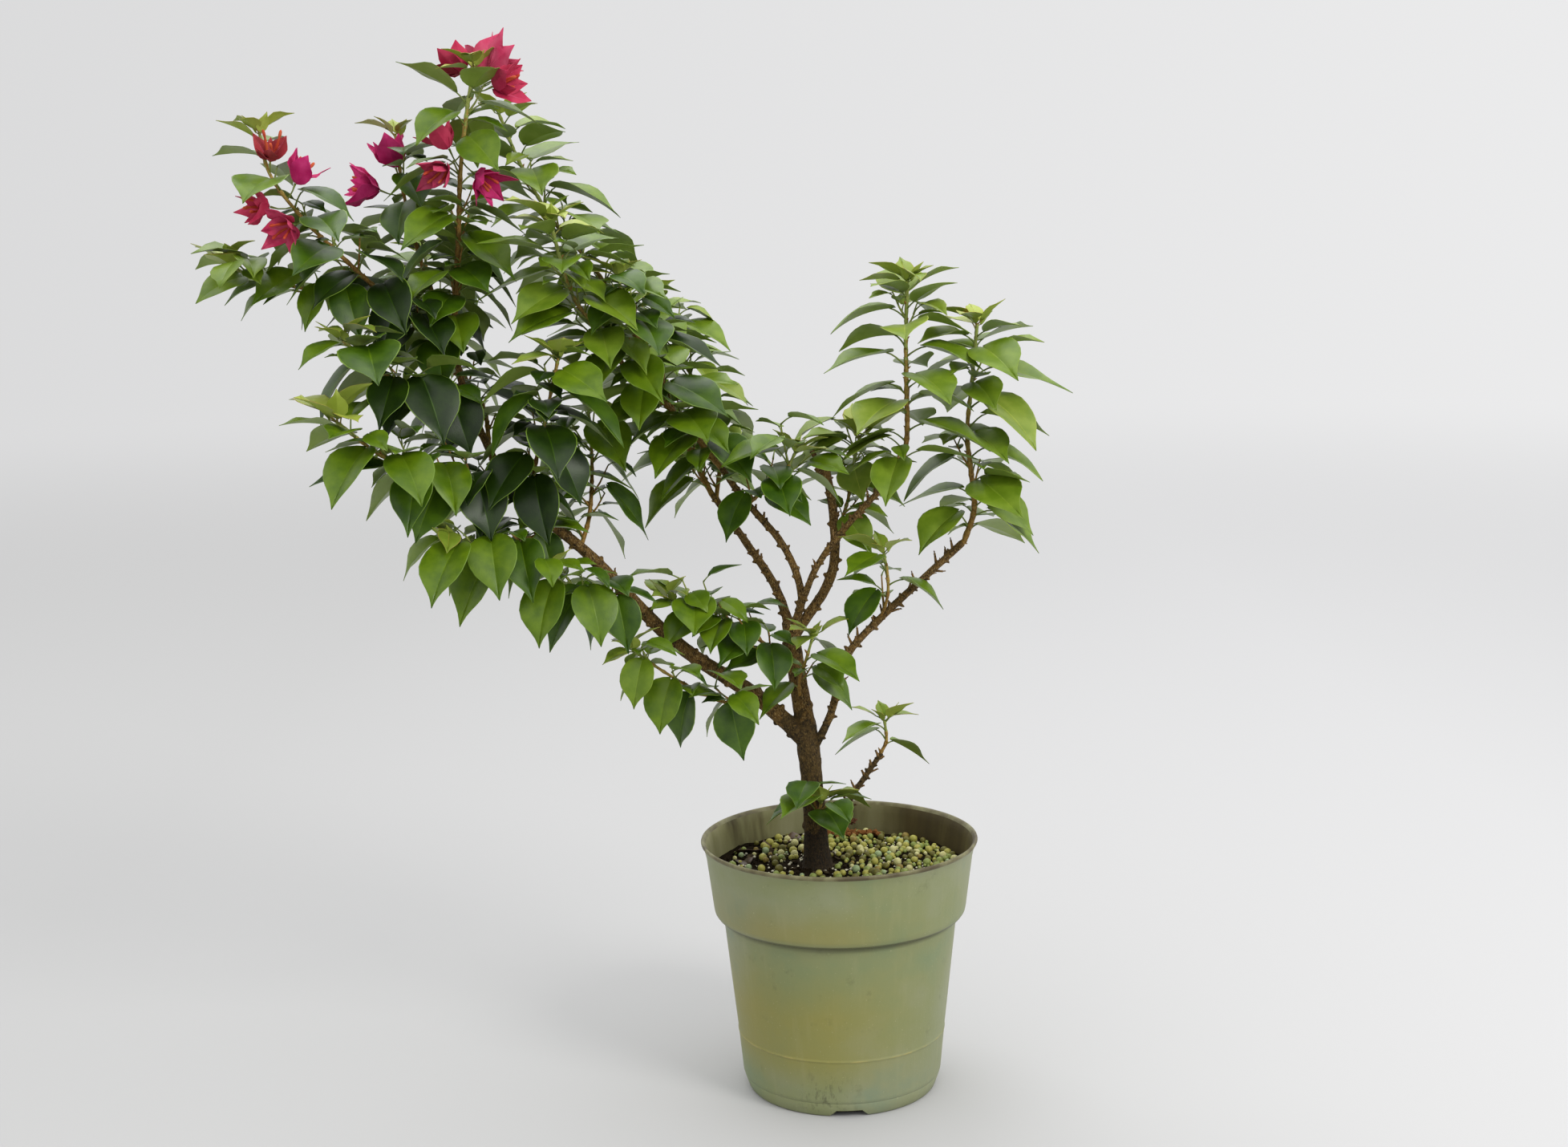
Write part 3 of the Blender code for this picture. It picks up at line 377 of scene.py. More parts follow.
class Paint(Nodes):
    """A material of one principled shader, painted by the object's own coordinates."""

    def __init__(self, name, roughness, gloss=0.5):
        self.material = bpy.data.materials.new(name)
        self.material.use_nodes = True
        super().__init__(self.material.node_tree)
        self.shader = self.tree.nodes["Principled BSDF"].inputs
        self.shader["Roughness"].default_value = roughness
        self.shader["Specular IOR Level"].default_value = gloss
        self.place = self.node("ShaderNodeTexCoord").outputs["Object"]

    def noise(self, scale, detail=4.0, stretch=(1, 1, 1), roughness=0.55, shift=(0, 0, 0)):
        """Noise from 0 to 1 with features of about 1/scale metres, drawn out where stretch is below 1."""
        place = self.node("ShaderNodeMapping", {"Vector": self.place, "Scale": stretch, "Location": shift})
        made = self.node("ShaderNodeTexNoise", {"Vector": place.outputs[0], "Scale": scale, "Detail": detail,
                                                "Roughness": roughness})
        return made.outputs["Fac"]

    def zone(self, value, start, full, wane, end):
        """1 where the value is between full and wane, falling to 0 at start and end, all in millimetres."""
        rising = self.spread(value, start * MM, full * MM)
        return self.times(rising, self.spread(value, end * MM, wane * MM))

    def colour(self, value):
        """Sets the colour of the surface."""
        self.feed(self.shader["Base Color"], value)

    def rough(self, value, low, high):
        """Lets the roughness run from low to high with the value."""
        made = self.node("ShaderNodeMapRange", {"Value": value, "To Min": low, "To Max": high})
        self.feed(self.shader["Roughness"], made.outputs["Result"])

    def bump(self, value, depth):
        """Relief of that depth in millimetres."""
        made = self.node("ShaderNodeBump", {"Height": value, "Strength": 1.0, "Distance": depth * MM})
        self.feed(self.shader["Normal"], made.outputs["Normal"])


# Greens and bracts: the colour of most of the surface, and the one that mottles it
# The darker of these greens also stand as painted shade in the crown's heart, the paler as painted light at
# its sunny edges
LEAF_TINTS = ("leaf_deep", "leaf_dark", "leaf_mid", "leaf_fresh", "leaf_light", "leaf_young", "leaf_tip")
RIB_TINT = 0.7  # how far the rib and margin are on the way to the next tint
TINTS = {
    "leaf_deep": ((18, 38, 0), (32, 54, 1)),
    "leaf_dark": ((41, 69, 0), (63, 92, 1)),
    "leaf_mid": ((70, 97, 3), (94, 120, 10)),
    "leaf_fresh": ((86, 112, 14), (108, 132, 30)),
    "leaf_light": ((108, 130, 34), (128, 146, 52)),
    "leaf_young": ((148, 162, 58), (164, 176, 76)),
    "leaf_tip": ((146, 130, 50), (154, 112, 50)),
    "leaf_margin": ((92, 120, 30), (106, 132, 44)),
    "leaf_under": ((116, 138, 52), (130, 150, 68)),
    "young_under": ((146, 162, 62), (158, 172, 78)),
    "leaf_dry": ((52, 38, 24), (78, 56, 34)),
    "stalk_green": ((98, 116, 46), (116, 128, 58)),
    "stalk_young": ((134, 136, 64), (150, 124, 66)),
    "bract_pink": ((182, 46, 84), (202, 84, 116)),
    "bract_rose": ((170, 38, 72), (190, 64, 92)),
    "bract_red": ((152, 46, 56), (168, 70, 74)),
    "bract_magenta": ((184, 32, 98), (204, 60, 122)),
    "bract_vein": ((190, 76, 112), (202, 100, 136)),
    "flower_tube": ((176, 58, 42), (196, 96, 62)),
}


def leaf_paint(name, first, second):
    """A smooth, softly glossy skin, mottled between its two colours, with a very fine grain."""
    papery = name.startswith(("bract", "flower"))
    paint = Paint(name, 0.7 if papery else 0.4, 0.12 if papery else 0.34)
    mottle = paint.spread(paint.noise(95.0, 3.0), 0.36, 0.66)
    paint.colour(paint.mix(mottle, linear(*first), linear(*second)))
    paint.bump(paint.noise(1400.0, 2.0), 0.12 if papery else 0.06)
    return paint.material


# Barks: the colour of the body, of the cracks and of the raised flakes
BARKS = {
    "bark_base": ((36, 26, 11), (14, 9, 3), (62, 48, 23)),
    "bark_old": ((70, 53, 23), (28, 20, 7), (102, 83, 46)),
    "bark": ((98, 72, 31), (35, 23, 6), (156, 130, 82)),
    "bark_twig": ((116, 86, 46), (62, 41, 16), (162, 137, 94)),
    "bark_dry": ((84, 48, 26), (34, 19, 8), (124, 84, 52)),
    "stem_brown": ((136, 102, 42), (92, 63, 19), (164, 138, 78)),
    "stem_tan": ((148, 124, 54), (116, 88, 36), (164, 148, 80)),
    "stem_green": ((134, 146, 70), (116, 124, 56), (156, 160, 92)),
}


def bark_paint(name):
    """Rough bark: cracks in the dark colour, raised flakes in the pale one."""
    body, dark, pale = BARKS[name]
    smooth = name.startswith("stem")
    paint = Paint(name, 0.7 if smooth else 0.88, 0.3)
    patches = paint.noise(420.0, 6.0, roughness=0.65)
    flakes = paint.noise(1700.0, 4.0, stretch=(1, 1, 0.45))
    cracked = paint.ramp(patches, (0.36, *dark), (0.56, *body))
    paint.colour(paint.mix(paint.spread(flakes, 0.5, 0.72), cracked, linear(*pale)))
    paint.bump(paint.plus(patches, flakes), 0.2 if smooth else 0.5)
    return paint.material


def plain_paint(name, first, second, scale, roughness, depth):
    """Two colours in patches of about 1/scale metres, with relief from the same noise."""
    paint = Paint(name, roughness, 0.05 if roughness > 0.8 else 0.25)
    patches = paint.noise(scale, 5.0)
    paint.colour(paint.mix(paint.spread(patches, 0.35, 0.65), linear(*first), linear(*second)))
    paint.bump(patches, depth)
    return paint.material


# What has marked the pot, and the painted shade under its band, from the first to the last: how strong it is,
# and its colour
POT_MARKS = {
    "yellowed_body": (0.85, (136, 128, 56)),
    "yellowed_band": (0.65, (134, 126, 66)),
    "streaks": (0.16, (160, 158, 120)),
    "grime": (0.4, (82, 82, 52)),
    # painted shade: a dark line under the band, where its turned-in lower edge shades the body
    "shade_under_band": (0.65, (56, 54, 30)),
    "scuffs": (0.55, (52, 48, 34)),
    "mould_ring": (0.6, (162, 150, 88)),
    "specks": (0.4, (180, 178, 140)),
}


def pot_marks(paint, streaks):
    """Where each mark is on the pot, from 0 to 1."""
    across, _, height = paint.axes(paint.place)
    left = paint.zone(across, -100, -52, -8, 55)
    patches = paint.spread(paint.noise(14.0, 4.0, shift=(0.31, 0.12, 0.0)), -0.1, 0.58)
    patches = paint.times(patches, left)
    rubbed = paint.spread(paint.noise(330.0, 6.0, stretch=(1, 1, 0.4), roughness=0.75), 0.52, 0.66)
    front_foot = paint.times(paint.zone(height, 0, 6, 20, 34), paint.zone(across, -32, -14, -6, 8))
    worn = paint.spread(paint.noise(120.0, 5.0), 0.44, 0.64)
    return {
        "yellowed_body": paint.times(paint.zone(height, 16, 36, 62, 100), patches),
        "yellowed_band": paint.times(paint.zone(height, 108, 112, 118, 136), patches),
        "streaks": paint.spread(streaks, 0.55, 0.8),
        "grime": paint.spread(paint.noise(60.0, 8.0, roughness=0.7), 0.60, 0.74),
        # painted shade: the dark line where the band's turned-in edge shades the body below it
        "shade_under_band": paint.zone(height, 103.5, 106.5, 108.5, 109.5),
        "scuffs": paint.times(rubbed, front_foot),
        "mould_ring": paint.times(paint.zone(height, 35.0, 35.4, 35.9, 36.4), worn),
        "specks": paint.spread(paint.noise(900.0, 2.0), 0.70, 0.74),
    }


def pot_paint():
    """Weathered olive plastic: clouds of grey-green with the marks of its age, and a dark line of painted
    shade under the band.
    """
    paint = Paint("pot_wall", 0.46, 0.4)
    clouds = paint.noise(12.0, 5.0, stretch=(1, 1, 1.3))
    streaks = paint.noise(150.0, 4.0, stretch=(1, 1, 0.05))
    colour = paint.ramp(clouds, (0.32, 112, 127, 92), (0.47, 125, 131, 89), (0.60, 131, 136, 103),
                        (0.74, 114, 131, 109))
    marks = pot_marks(paint, streaks)
    for name, (strength, tint) in POT_MARKS.items():
        colour = paint.mix(paint.times(marks[name], strength), colour, linear(*tint))
    paint.colour(colour)
    paint.rough(clouds, 0.38, 0.56)
    paint.bump(paint.plus(paint.noise(260.0, 5.0), streaks), 0.1)
    return paint.material


def pot_inside_paint():
    """The shaded inside: dull olive with brown stains that run down, browner and darker on the right, partly
    from stains and partly as painted shade.
    """
    paint = Paint("pot_inside", 0.6, 0.3)
    stains = paint.noise(30.0, 5.0, stretch=(1, 1, 0.12))
    plain = paint.ramp(stains, (0.36, 66, 58, 30), (0.48, 114, 112, 74), (0.66, 138, 136, 102))
    brown = paint.ramp(stains, (0.36, 44, 34, 12), (0.52, 66, 56, 24), (0.7, 92, 84, 46))
    # painted shade and stains: towards the right the inside turns to the darker brown ramp
    rightward_stain_and_shade = paint.spread(paint.axes(paint.place)[0], 0.006, 0.045)
    paint.colour(paint.mix(rightward_stain_and_shade, plain, brown))
    paint.bump(paint.noise(300.0, 4.0), 0.1)
    return paint.material


def pot_edge_paint():
    """The worn rim: brown where hands and soil rub it."""
    paint = Paint("pot_edge", 0.55)
    worn = paint.noise(70.0, 6.0)
    paint.colour(paint.ramp(worn, (0.35, 70, 60, 34), (0.5, 96, 90, 58), (0.68, 126, 124, 88)))
    paint.bump(paint.noise(500.0, 4.0), 0.1)
    return paint.material


# Potting mix: each kind of grain, its two colours, roughness
GRAINS = {
    "bead_yellow": ((136, 133, 54), (158, 153, 76), 0.45),
    "bead_pale": ((166, 162, 102), (184, 181, 130), 0.45),
    "bead_green": ((108, 119, 52), (128, 139, 74), 0.45),
    "bead_blue": ((124, 141, 98), (144, 159, 118), 0.45),
    "bead_olive": ((80, 77, 28), (101, 96, 40), 0.5),
    "bead_tan": ((110, 95, 40), (129, 111, 54), 0.5),
    "perlite": ((190, 184, 158), (210, 206, 186), 0.9),
    "crumb": ((15, 10, 3), (32, 23, 11), 0.95),
    "chip": ((38, 31, 20), (64, 54, 38), 0.9),
    "rust": ((90, 54, 27), (118, 80, 44), 0.9),
}
BEADS = ("bead_yellow", "bead_yellow", "bead_yellow", "bead_yellow", "bead_pale", "bead_pale", "bead_green",
         "bead_green", "bead_green", "bead_blue", "bead_olive", "bead_olive", "bead_olive", "bead_tan")


def rib_pair(tint, paler):
    """Two colours on the way from those of one tint to those of the next."""
    return [[round(a + (b - a) * RIB_TINT) for a, b in zip(*pair)] for pair in zip(TINTS[tint], TINTS[paler])]


def make_materials():
    """Every material by its name."""
    made = {name: leaf_paint(name, *pair) for name, pair in TINTS.items()}
    for tint, paler in zip(LEAF_TINTS, LEAF_TINTS[1:]):
        made[tint + "_rib"] = leaf_paint(tint + "_rib", *rib_pair(tint, paler))
    made.update({name: bark_paint(name) for name in BARKS})
    for name, (first, second, roughness) in GRAINS.items():
        made[name] = plain_paint(name, first, second, 480.0, roughness, 0.25)
    made["soil"] = plain_paint("soil", (13, 9, 3), (33, 24, 11), 700.0, 0.97, 0.9)
    made["pot_wall"] = pot_paint()
    made["pot_inside"] = pot_inside_paint()
    made["pot_edge"] = pot_edge_paint()
    return made


# ---------------------------------------------------------------- curves and tubes

def point(values):
    """A point given in millimetres."""
    return Vector(values) * MM


def smooth_path(points, step):
    """A Catmull-Rom curve through the points, cut at about equal steps, all given in millimetres."""
    points = [point(p) for p in points]
    ends = [points[0] * 2 - points[1], *points, points[-1] * 2 - points[-2]]
    path = [points[0]]
    for a, b, c, d in zip(ends, ends[1:], ends[2:], ends[3:]):
        pieces = max(1, round((c - b).length / (step * MM)))
        for i in range(1, pieces + 1):
            t = i / pieces
            path.append(0.5 * (2 * b + (c - a) * t + (2 * a - 5 * b + 4 * c - d) * t ** 2
                               + (3 * b - 3 * c + d - a) * t ** 3))
    return path


def path_length(path):
    """The length of a path in metres."""
    return sum((b - a).length for a, b in zip(path, path[1:]))


def shares_of(path):
    """How far along the path each of its points is, from 0 to 1."""
    lengths = [0.0]
    for a, b in zip(path, path[1:]):
        lengths.append(lengths[-1] + (b - a).length)
    return [x / lengths[-1] for x in lengths]


def along(path, share):
    """The point at that share of the path's length, and the direction there."""
    shares = shares_of(path)
    for i in range(1, len(path)):
        if share <= shares[i] or i == len(path) - 1:
            t = (share - shares[i - 1]) / (shares[i] - shares[i - 1])
            return path[i - 1].lerp(path[i], t), (path[i] - path[i - 1]).normalized()


def square_to(vector, axis):
    """The direction square to the axis that is nearest to the vector."""
    return (vector - axis * vector.dot(axis)).normalized()


def level_side(tangent):
    """The level direction square to the stem, or any square one where the stem is upright."""
    side = tangent.cross(UP)
    return side.normalized() if side.length > 0.15 else tangent.cross(Vector((0, 1, 0))).normalized()


def side_at(tangent, turn):
    """The direction square to a stem, that far round it."""
    return Matrix.Rotation(turn, 3, tangent) @ level_side(tangent)


def ring_axes(path):
    """For each point of the path, two directions square to it that don't twist from ring to ring."""
    axes = []
    side = None
    for i in range(len(path)):
        tangent = (path[min(i + 1, len(path) - 1)] - path[max(i - 1, 0)]).normalized()
        if side is None:
            side = tangent.cross(Vector((0, 1, 0))).normalized()
        side = square_to(side, tangent)
        axes.append((side, tangent.cross(side)))
    return axes


def tube_mesh(path, radii, sides):
    """A closed tube along the path, as vertices and faces."""
    vertices, faces = [], []
    for middle, radius, (a, b) in zip(path, radii, ring_axes(path)):
        for k in range(sides):
            turn = 2 * math.pi * k / sides
            vertices.append(middle + (a * math.cos(turn) + b * math.sin(turn)) * radius)
    for i in range(len(path) - 1):
        for k in range(sides):
            j, nxt = i * sides + k, i * sides + (k + 1) % sides
            faces.append((j, nxt, nxt + sides, j + sides))
    faces.append(tuple(reversed(range(sides))))
    faces.append(tuple(range(len(vertices) - sides, len(vertices))))
    return vertices, faces


def outward_faces(vertices, faces):
    """The faces of a closed mesh, turned to point out of it."""
    origin = vertices[0]
    volume = 0.0
    for face in faces:
        for i in range(1, len(face) - 1):
            a, b, c = (vertices[face[k]] - origin for k in (0, i, i + 1))
            volume += a.dot(b.cross(c))
    return faces if volume > 0 else [tuple(reversed(face)) for face in faces]


def limb_radii(name, path, first, last):
    """The radius at each point: an even taper, and on the trunk a root flare and a swollen fork."""
    radii = []
    for share, middle in zip(shares_of(path), path):
        radius = (first + (last - first) * share) * MM
        if name == "trunk":
            radius += ROOT_FLARE * MM * math.exp(-(middle.z - SOIL_LEVEL * MM) / (ROOT_REACH * MM))
            radius += FORK_SWELL * MM * math.exp(-((middle.z - FORK_HEIGHT * MM) / (FORK_REACH * MM)) ** 2)
        radii.append(radius)
    return radii


# ---------------------------------------------------------------- the growing rule

class Blade(NamedTuple):
    """A leaf or bract: where its stalk leaves the stem, where the blade begins, and the blade's form."""

    root: Vector
    base: Vector
    along: Vector
    normal: Vector  # of the upper side
    length: float
    shape: float  # width as a share of the length
    fold: float
    arch: float
    share: float = 0.0  # how far along the stem it stands

    @property
    def side(self):
        return self.along.cross(self.normal)


def blade_point(leaf, share, across):
    """A point of the blade: share runs along it from 0 to 1, across over its width from -1 to 1."""
    bend = leaf.arch * share
    outward = leaf.along * math.sin(bend) - leaf.normal * (1 - math.cos(bend))
    local_normal = leaf.normal * math.cos(bend) + leaf.along * math.sin(bend)
    half = leaf.length * leaf.shape / 2 * across
    return (leaf.base + outward * leaf.length / leaf.arch
            + leaf.side * half * math.cos(leaf.fold)
            + local_normal * abs(half) * math.sin(leaf.fold))


def leaf_mesh(leaf, outline=LEAF_OUTLINE):
    """A stalked leaf as a closed mesh: a three-sided stalk that opens into a thin, folded blade."""
    axis = (leaf.base - leaf.root).normalized()
    vertices = stalk_ring(leaf, leaf.root, axis)
    vertices += stalk_ring(leaf, leaf.base, (axis + leaf.along).normalized())
    vertices += [blade_point(leaf, share, across) for share, across in outline]
    vertices.append(blade_point(leaf, 1.0, 0.0))
    vertices += [blade_point(leaf, share, -across) for share, across in reversed(outline)]
    middle = blade_point(leaf, RIB_SHARE, 0.0)
    half_thick = leaf.normal * LEAF_THICKNESS * MM / 2
    over, under = len(vertices), len(vertices) + 1
    vertices += [middle + half_thick, middle - half_thick]
    rim = [3, *range(6, over), 5]
    faces = [(0, 3, 4, 1), (1, 4, 5, 2), (2, 5, 3, 0), (0, 1, 2), (over, 3, 5), (under, 4, 3), (under, 5, 4)]
    for a, b in zip(rim, rim[1:]):
        faces.append((over, b, a))
        faces.append((under, a, b))
    return vertices, outward_faces(vertices, faces)


def stalk_ring(leaf, middle, heading):
    """The three corners of the stalk, square to its heading, with the flat side up."""
    side = square_to(leaf.side, heading)
    above = side.cross(heading)
    if above.dot(leaf.normal) < 0:
        above.negate()
    corners = (side + above * 0.4, -above, -side + above * 0.4)
    return [middle + corner * STALK_RADIUS * MM for corner in corners]


def make_leaf(root, outward, tangent, length, droop, chance):
    """A leaf on its stalk, from the stem's axis out. Its blade levels out, droops and faces the light."""
    outward = (outward + (UP * 0.8 + LIGHT * 0.6) * max(0.0, -outward.z)).normalized()
    rise = tangent * chance.uniform(0.35, 0.6) + UP * 0.25
    reach = (outward + rise).normalized()
    base = root + reach * length * STALK * chance.uniform(0.85, 1.25)
    level = outward + tangent * 0.3
    level = Vector((level.x * SPREAD, level.y, 0)) + LIGHT * 0.25
    if level.length < 0.2:
        level = LIGHT.copy()
    level.normalize()
    along_blade = level * math.cos(droop) - UP * math.sin(droop)
    turned = max(0.0, droop + 0.1) * chance.uniform(*FACING) * (1 - SIDEWAYS * level.x ** 2)
    normal = square_to(UP + LIGHT * turned + outward * 0.25, along_blade)
    shape = LEAF_WIDTH * chance.uniform(0.88, 1.08)
    fold = math.radians(chance.uniform(*FOLD))
    arch = math.radians(chance.uniform(*ARCH))
    return Blade(root, base, along_blade, normal, length, shape, fold, arch)


def well_bent(leaf):
    """Whether the stalk meets the blade from behind or below, so that neither runs through the other."""
    axis = (leaf.base - leaf.root).normalized()
    return axis.dot(leaf.along) > 0.1 and axis.dot(leaf.normal) > -0.25


def swollen(vertices, faces, by):
    """The closed mesh with each vertex moved outwards."""
    normals = [Vector() for _ in vertices]
    for face in faces:
        a, b, c = (vertices[k] for k in face[:3])
        normal = (b - a).cross(c - a).normalized()
        for k in face:
            normals[k] += normal
    return [v + n.normalized() * by for v, n in zip(vertices, normals)]


def box_of(vertices):
    """The lowest and the highest corner of the box round the vertices."""
    return [Vector([end(v[i] for v in vertices) for i in range(3)]) for end in (min, max)]


def near_box(spot, low, high, reach=3 * MM):
    """Whether the spot is in the box, or no further from it than reach."""
    return all(low[i] - reach < spot[i] < high[i] + reach for i in range(3))


class Solids:
    """The solids made so far, to be asked whether a new one would come too close."""

    def __init__(self):
        self.items = []

    def add(self, vertices, faces, owner):
        """Adds a closed mesh under the name of its owner."""
        tree = BVHTree.FromPolygons([tuple(v) for v in vertices], faces)
        self.items.append((*box_of(vertices), tree, list(vertices), owner))

    def near(self, low, high):
        """The solids whose boxes meet this one."""
        for item in self.items:
            if all(item[0][i] < high[i] and item[1][i] > low[i] for i in range(3)):
                yield item

    def clear_of(self, vertices, faces, ignore=()):
        """Whether the mesh stays GAP away from all solids but those of the owners in ignore."""
        probe = swollen(vertices, faces, 2 * GAP)
        low, high = box_of(probe)
        tree = BVHTree.FromPolygons([tuple(v) for v in probe], faces)
        for _, _, other, corners, owner in self.near(low, high):
            if owner in ignore:
                continue
            if other.overlap(tree):
                return False
            if any(other.find_nearest(v)[3] < GAP for v in vertices):
                return False
            if any(tree.find_nearest(v)[3] < GAP / 2 for v in corners if near_box(v, low, high)):
                return False
        return True

    def first_clear(self, path, radii):
        """The first place on a finely cut path where a tube's flat end is outside all solids by GAP."""
        for i in range(len(path) - 1):
            tangent = (path[i + 1] - path[i]).normalized()
            across = tangent.orthogonal().normalized()
            rim = [path[i] + Matrix.Rotation(math.radians(30 * k), 3, tangent) @ across * radii[i]
                   for k in range(12)]
            if all(self.outside(spot) for spot in rim + [path[i]]):
                return i
        return 0

    def outside(self, spot):
        """Whether the spot is outside all solids by a little more than GAP."""
        for low, high, tree, _, _ in self.items:
            if not near_box(spot, low, high):
                continue
            nearest, normal, _, distance = tree.find_nearest(spot)
            if distance < GAP * 1.15 or (spot - nearest).dot(normal) < 0:
                return False
        return True


def clear_tube(solids, points, radii_of, step, sides):
    """A tube along the points, its start moved out of the solids that are there, as path, vertices, faces."""
    fine = smooth_path(points, 0.5)
    start = solids.first_clear(fine, radii_of(fine))
    length = path_length(fine[start:])
    every = max(1, round((len(fine) - start) / max(2, round(length / (step * MM)))))
    path = [fine[i] for i in range(start, len(fine) - every // 2, every)] + [fine[-1]]
    vertices, faces = tube_mesh(path, radii_of(path), sides)
    return path, vertices, outward_faces(vertices, faces)


def build_stems(solids):
    """The stems of all shoots. Returns each one's path and mesh."""
    stems = {}
    for name, shoot in SHOOTS.items():
        def radii_of(path):
            taper = shoot.tip_radius - shoot.foot_radius
            return [(shoot.foot_radius + taper * share) * MM for share in shares_of(path)]
        stems[name] = clear_tube(solids, shoot.points, radii_of, STEM_STEP, STEM_SIDES)
        solids.add(*stems[name][1:], name)
    return stems


def leaf_shares(length, spacing):
    """Where along a stem its leaves stand: evenly, then closer to each other in the crowded tip."""
    at = 0.45 * spacing * MM
    while at < length:
        yield at / length
        at += spacing * MM * (0.6 if at / length > 1 - CROWDED_TIP else 1.0)


def leaf_size(share, full):
    """The blade's length in metres: a little short at the foot of a shoot, small in its tip."""
    if share > 1 - CROWDED_TIP:
        return full * MM * (0.94 - 0.44 * (share - 1 + CROWDED_TIP) / CROWDED_TIP)
    return full * MM * min(1.0, 0.86 + 0.6 * share)


def in_own_space(name, spot, stems):
    """Whether the spot is nearer to this shoot's stem than to any other, with some slack."""
    own = min((spot - p).length for p in stems[name][0])
    for other, (path, _, _) in stems.items():
        if other != name and min((spot - p).length for p in path) < own - SPACE_SLACK * MM:
            return False
    return True


def clear_of_stem(vertices, path):
    """Whether the blade's corners stay off the stem along this path. The stalk's six may touch it."""
    for vertex in vertices[6:]:
        for a, b in zip(path, path[1:]):
            t = max(0.0, min(1.0, (vertex - a).dot(b - a) / (b - a).length_squared))
            if (vertex - a.lerp(b, t)).length < STEM_CLEARANCE * MM:
                return False
    return True


def fits(name, leaf, spot, stems, solids, bare=()):
    """Whether a leaf with its middle at the spot clears all else. One that does joins the solids."""
    if not well_bent(leaf) or not in_own_space(name, spot, stems):
        return False
    vertices, faces = leaf_mesh(leaf)
    if not solids.clear_of(vertices, faces, ignore=(name,)) or not clear_of_stem(vertices, bare):
        return False
    solids.add(vertices, faces, name + "_leaf")
    return True


def try_leaf(shoot, path, share, turn, attempt, chance):
    """A leaf at that share of the stem. Each attempt turns it further, to both sides in turn."""
    root, tangent = along(path, share)
    swing = (attempt + 1) // 2 * TRY_TURN * (-1) ** attempt
    outward = side_at(tangent, turn + swing + chance.uniform(-0.2, 0.2))
    droop = shoot.droop_foot + (shoot.droop_tip - shoot.droop_foot) * share
    if share > 1 - CROWDED_TIP:
        droop -= YOUNG_LIFT
    droop = math.radians(droop + chance.uniform(-12, 22) + 4 * attempt)
    size = leaf_size(share, shoot.leaf) * chance.uniform(0.86, 1.1) * (1 - 0.04 * attempt)
    return make_leaf(root, outward, tangent, size, droop, chance)._replace(share=share)


def grow_leaves(name, stems, solids):
    """The leaves of one shoot that fit, from its foot to its tip."""
    shoot = SHOOTS[name]
    path = stems[name][0]
    chance = random.Random(name)
    turn = math.radians(shoot.heading)
    leaves = []
    for share in leaf_shares(path_length(path), shoot.spacing):
        turn += TURN
        for attempt in range(TRIES):
            leaf = try_leaf(shoot, path, share, turn, attempt, chance)
            if fits(name, leaf, blade_point(leaf, 0.5, 0), stems, solids, bare=path):
                leaves.append(leaf)
                break
    return leaves


class Bloom(NamedTuple):
    """Papery bracts round one axis, on a stalk that springs from the stem."""

    root: Vector
    centre: Vector
    axis: Vector
    bracts: list


def make_bloom(path, share, heading, rise, stalk_length, chance):
    """Three bracts at the end of a stalk, which leaves the stem by these angles in degrees."""
    root, _ = along(path, share)
    heading, rise = math.radians(heading), math.radians(rise)
    axis = Vector((math.cos(heading) * math.cos(rise), math.sin(heading) * math.cos(rise), math.sin(rise)))
    centre = root + axis * stalk_length * MM
    across = axis.orthogonal().normalized()
    bracts = []
    for i in range(3):
        out = Matrix.Rotation(2 * math.pi * i / 3 + chance.uniform(-0.2, 0.2), 3, axis) @ across
        along_blade = (axis * 0.85 + out * 0.75).normalized()
        normal = square_to((axis - out).normalized(), along_blade)
        length = BRACT * MM * chance.uniform(0.9, 1.1)
        foot = centre - axis * (0.3 + 0.5 * i) * MM
        bracts.append(Blade(foot, foot + along_blade * 2.2 * MM, along_blade, normal, length, BRACT_WIDTH,
                            BRACT_FOLD, BRACT_ARCH))
    return Bloom(root, centre, axis, bracts)


def make_blooms(name, path, solids):
    """The blooms of one shoot."""
    chance = random.Random(name + "_blooms")
    blooms = [make_bloom(path, *row[:4], chance) for row in BLOOMS.get(name, ())]
    for bloom in blooms:
        stalk = [bloom.root, bloom.centre + bloom.axis * 1.5 * MM]
        vertices, faces = tube_mesh(stalk, [0.7 * MM, 1.0 * MM], 3)
        solids.add(vertices, outward_faces(vertices, faces), name + "_bloom")
        for bract in bloom.bracts:
            solids.add(*leaf_mesh(bract, BRACT_OUTLINE), name + "_bloom")
    return blooms


def grow_twigs(name, stems, leaves, solids):
    """Short side twigs from the leaf axils of one shoot: each one's path, leaves and share of the stem."""
    chance = random.Random(name + "_twigs")
    path = stems[name][0]
    twigs = []
    for leaf in leaves:
        if chance.random() > SPARSE.get(name, TWIG_CHANCE) or leaf.share > 1 - CROWDED_TIP:
            continue
        root, tangent = along(path, leaf.share)
        outward = square_to(leaf.base - leaf.root, tangent)
        heading = (outward + tangent * chance.uniform(0.7, 1.5) + UP * 0.5).normalized()
        length = chance.uniform(*TWIG_LENGTH) * MM
        twig = [root, root + heading * length * 0.5, root + (heading + UP * 0.15) * length]
        grown = twig_leaves(name, twig, leaf.share, stems, solids, chance)
        if grown:
            twigs.append((twig, grown, leaf.share))
    twigs.append((path[-2:], rosette(path, BRIGHT_ROSETTE if name in BRIGHT_TIPS else 1.0, chance), 1.0))
    return twigs


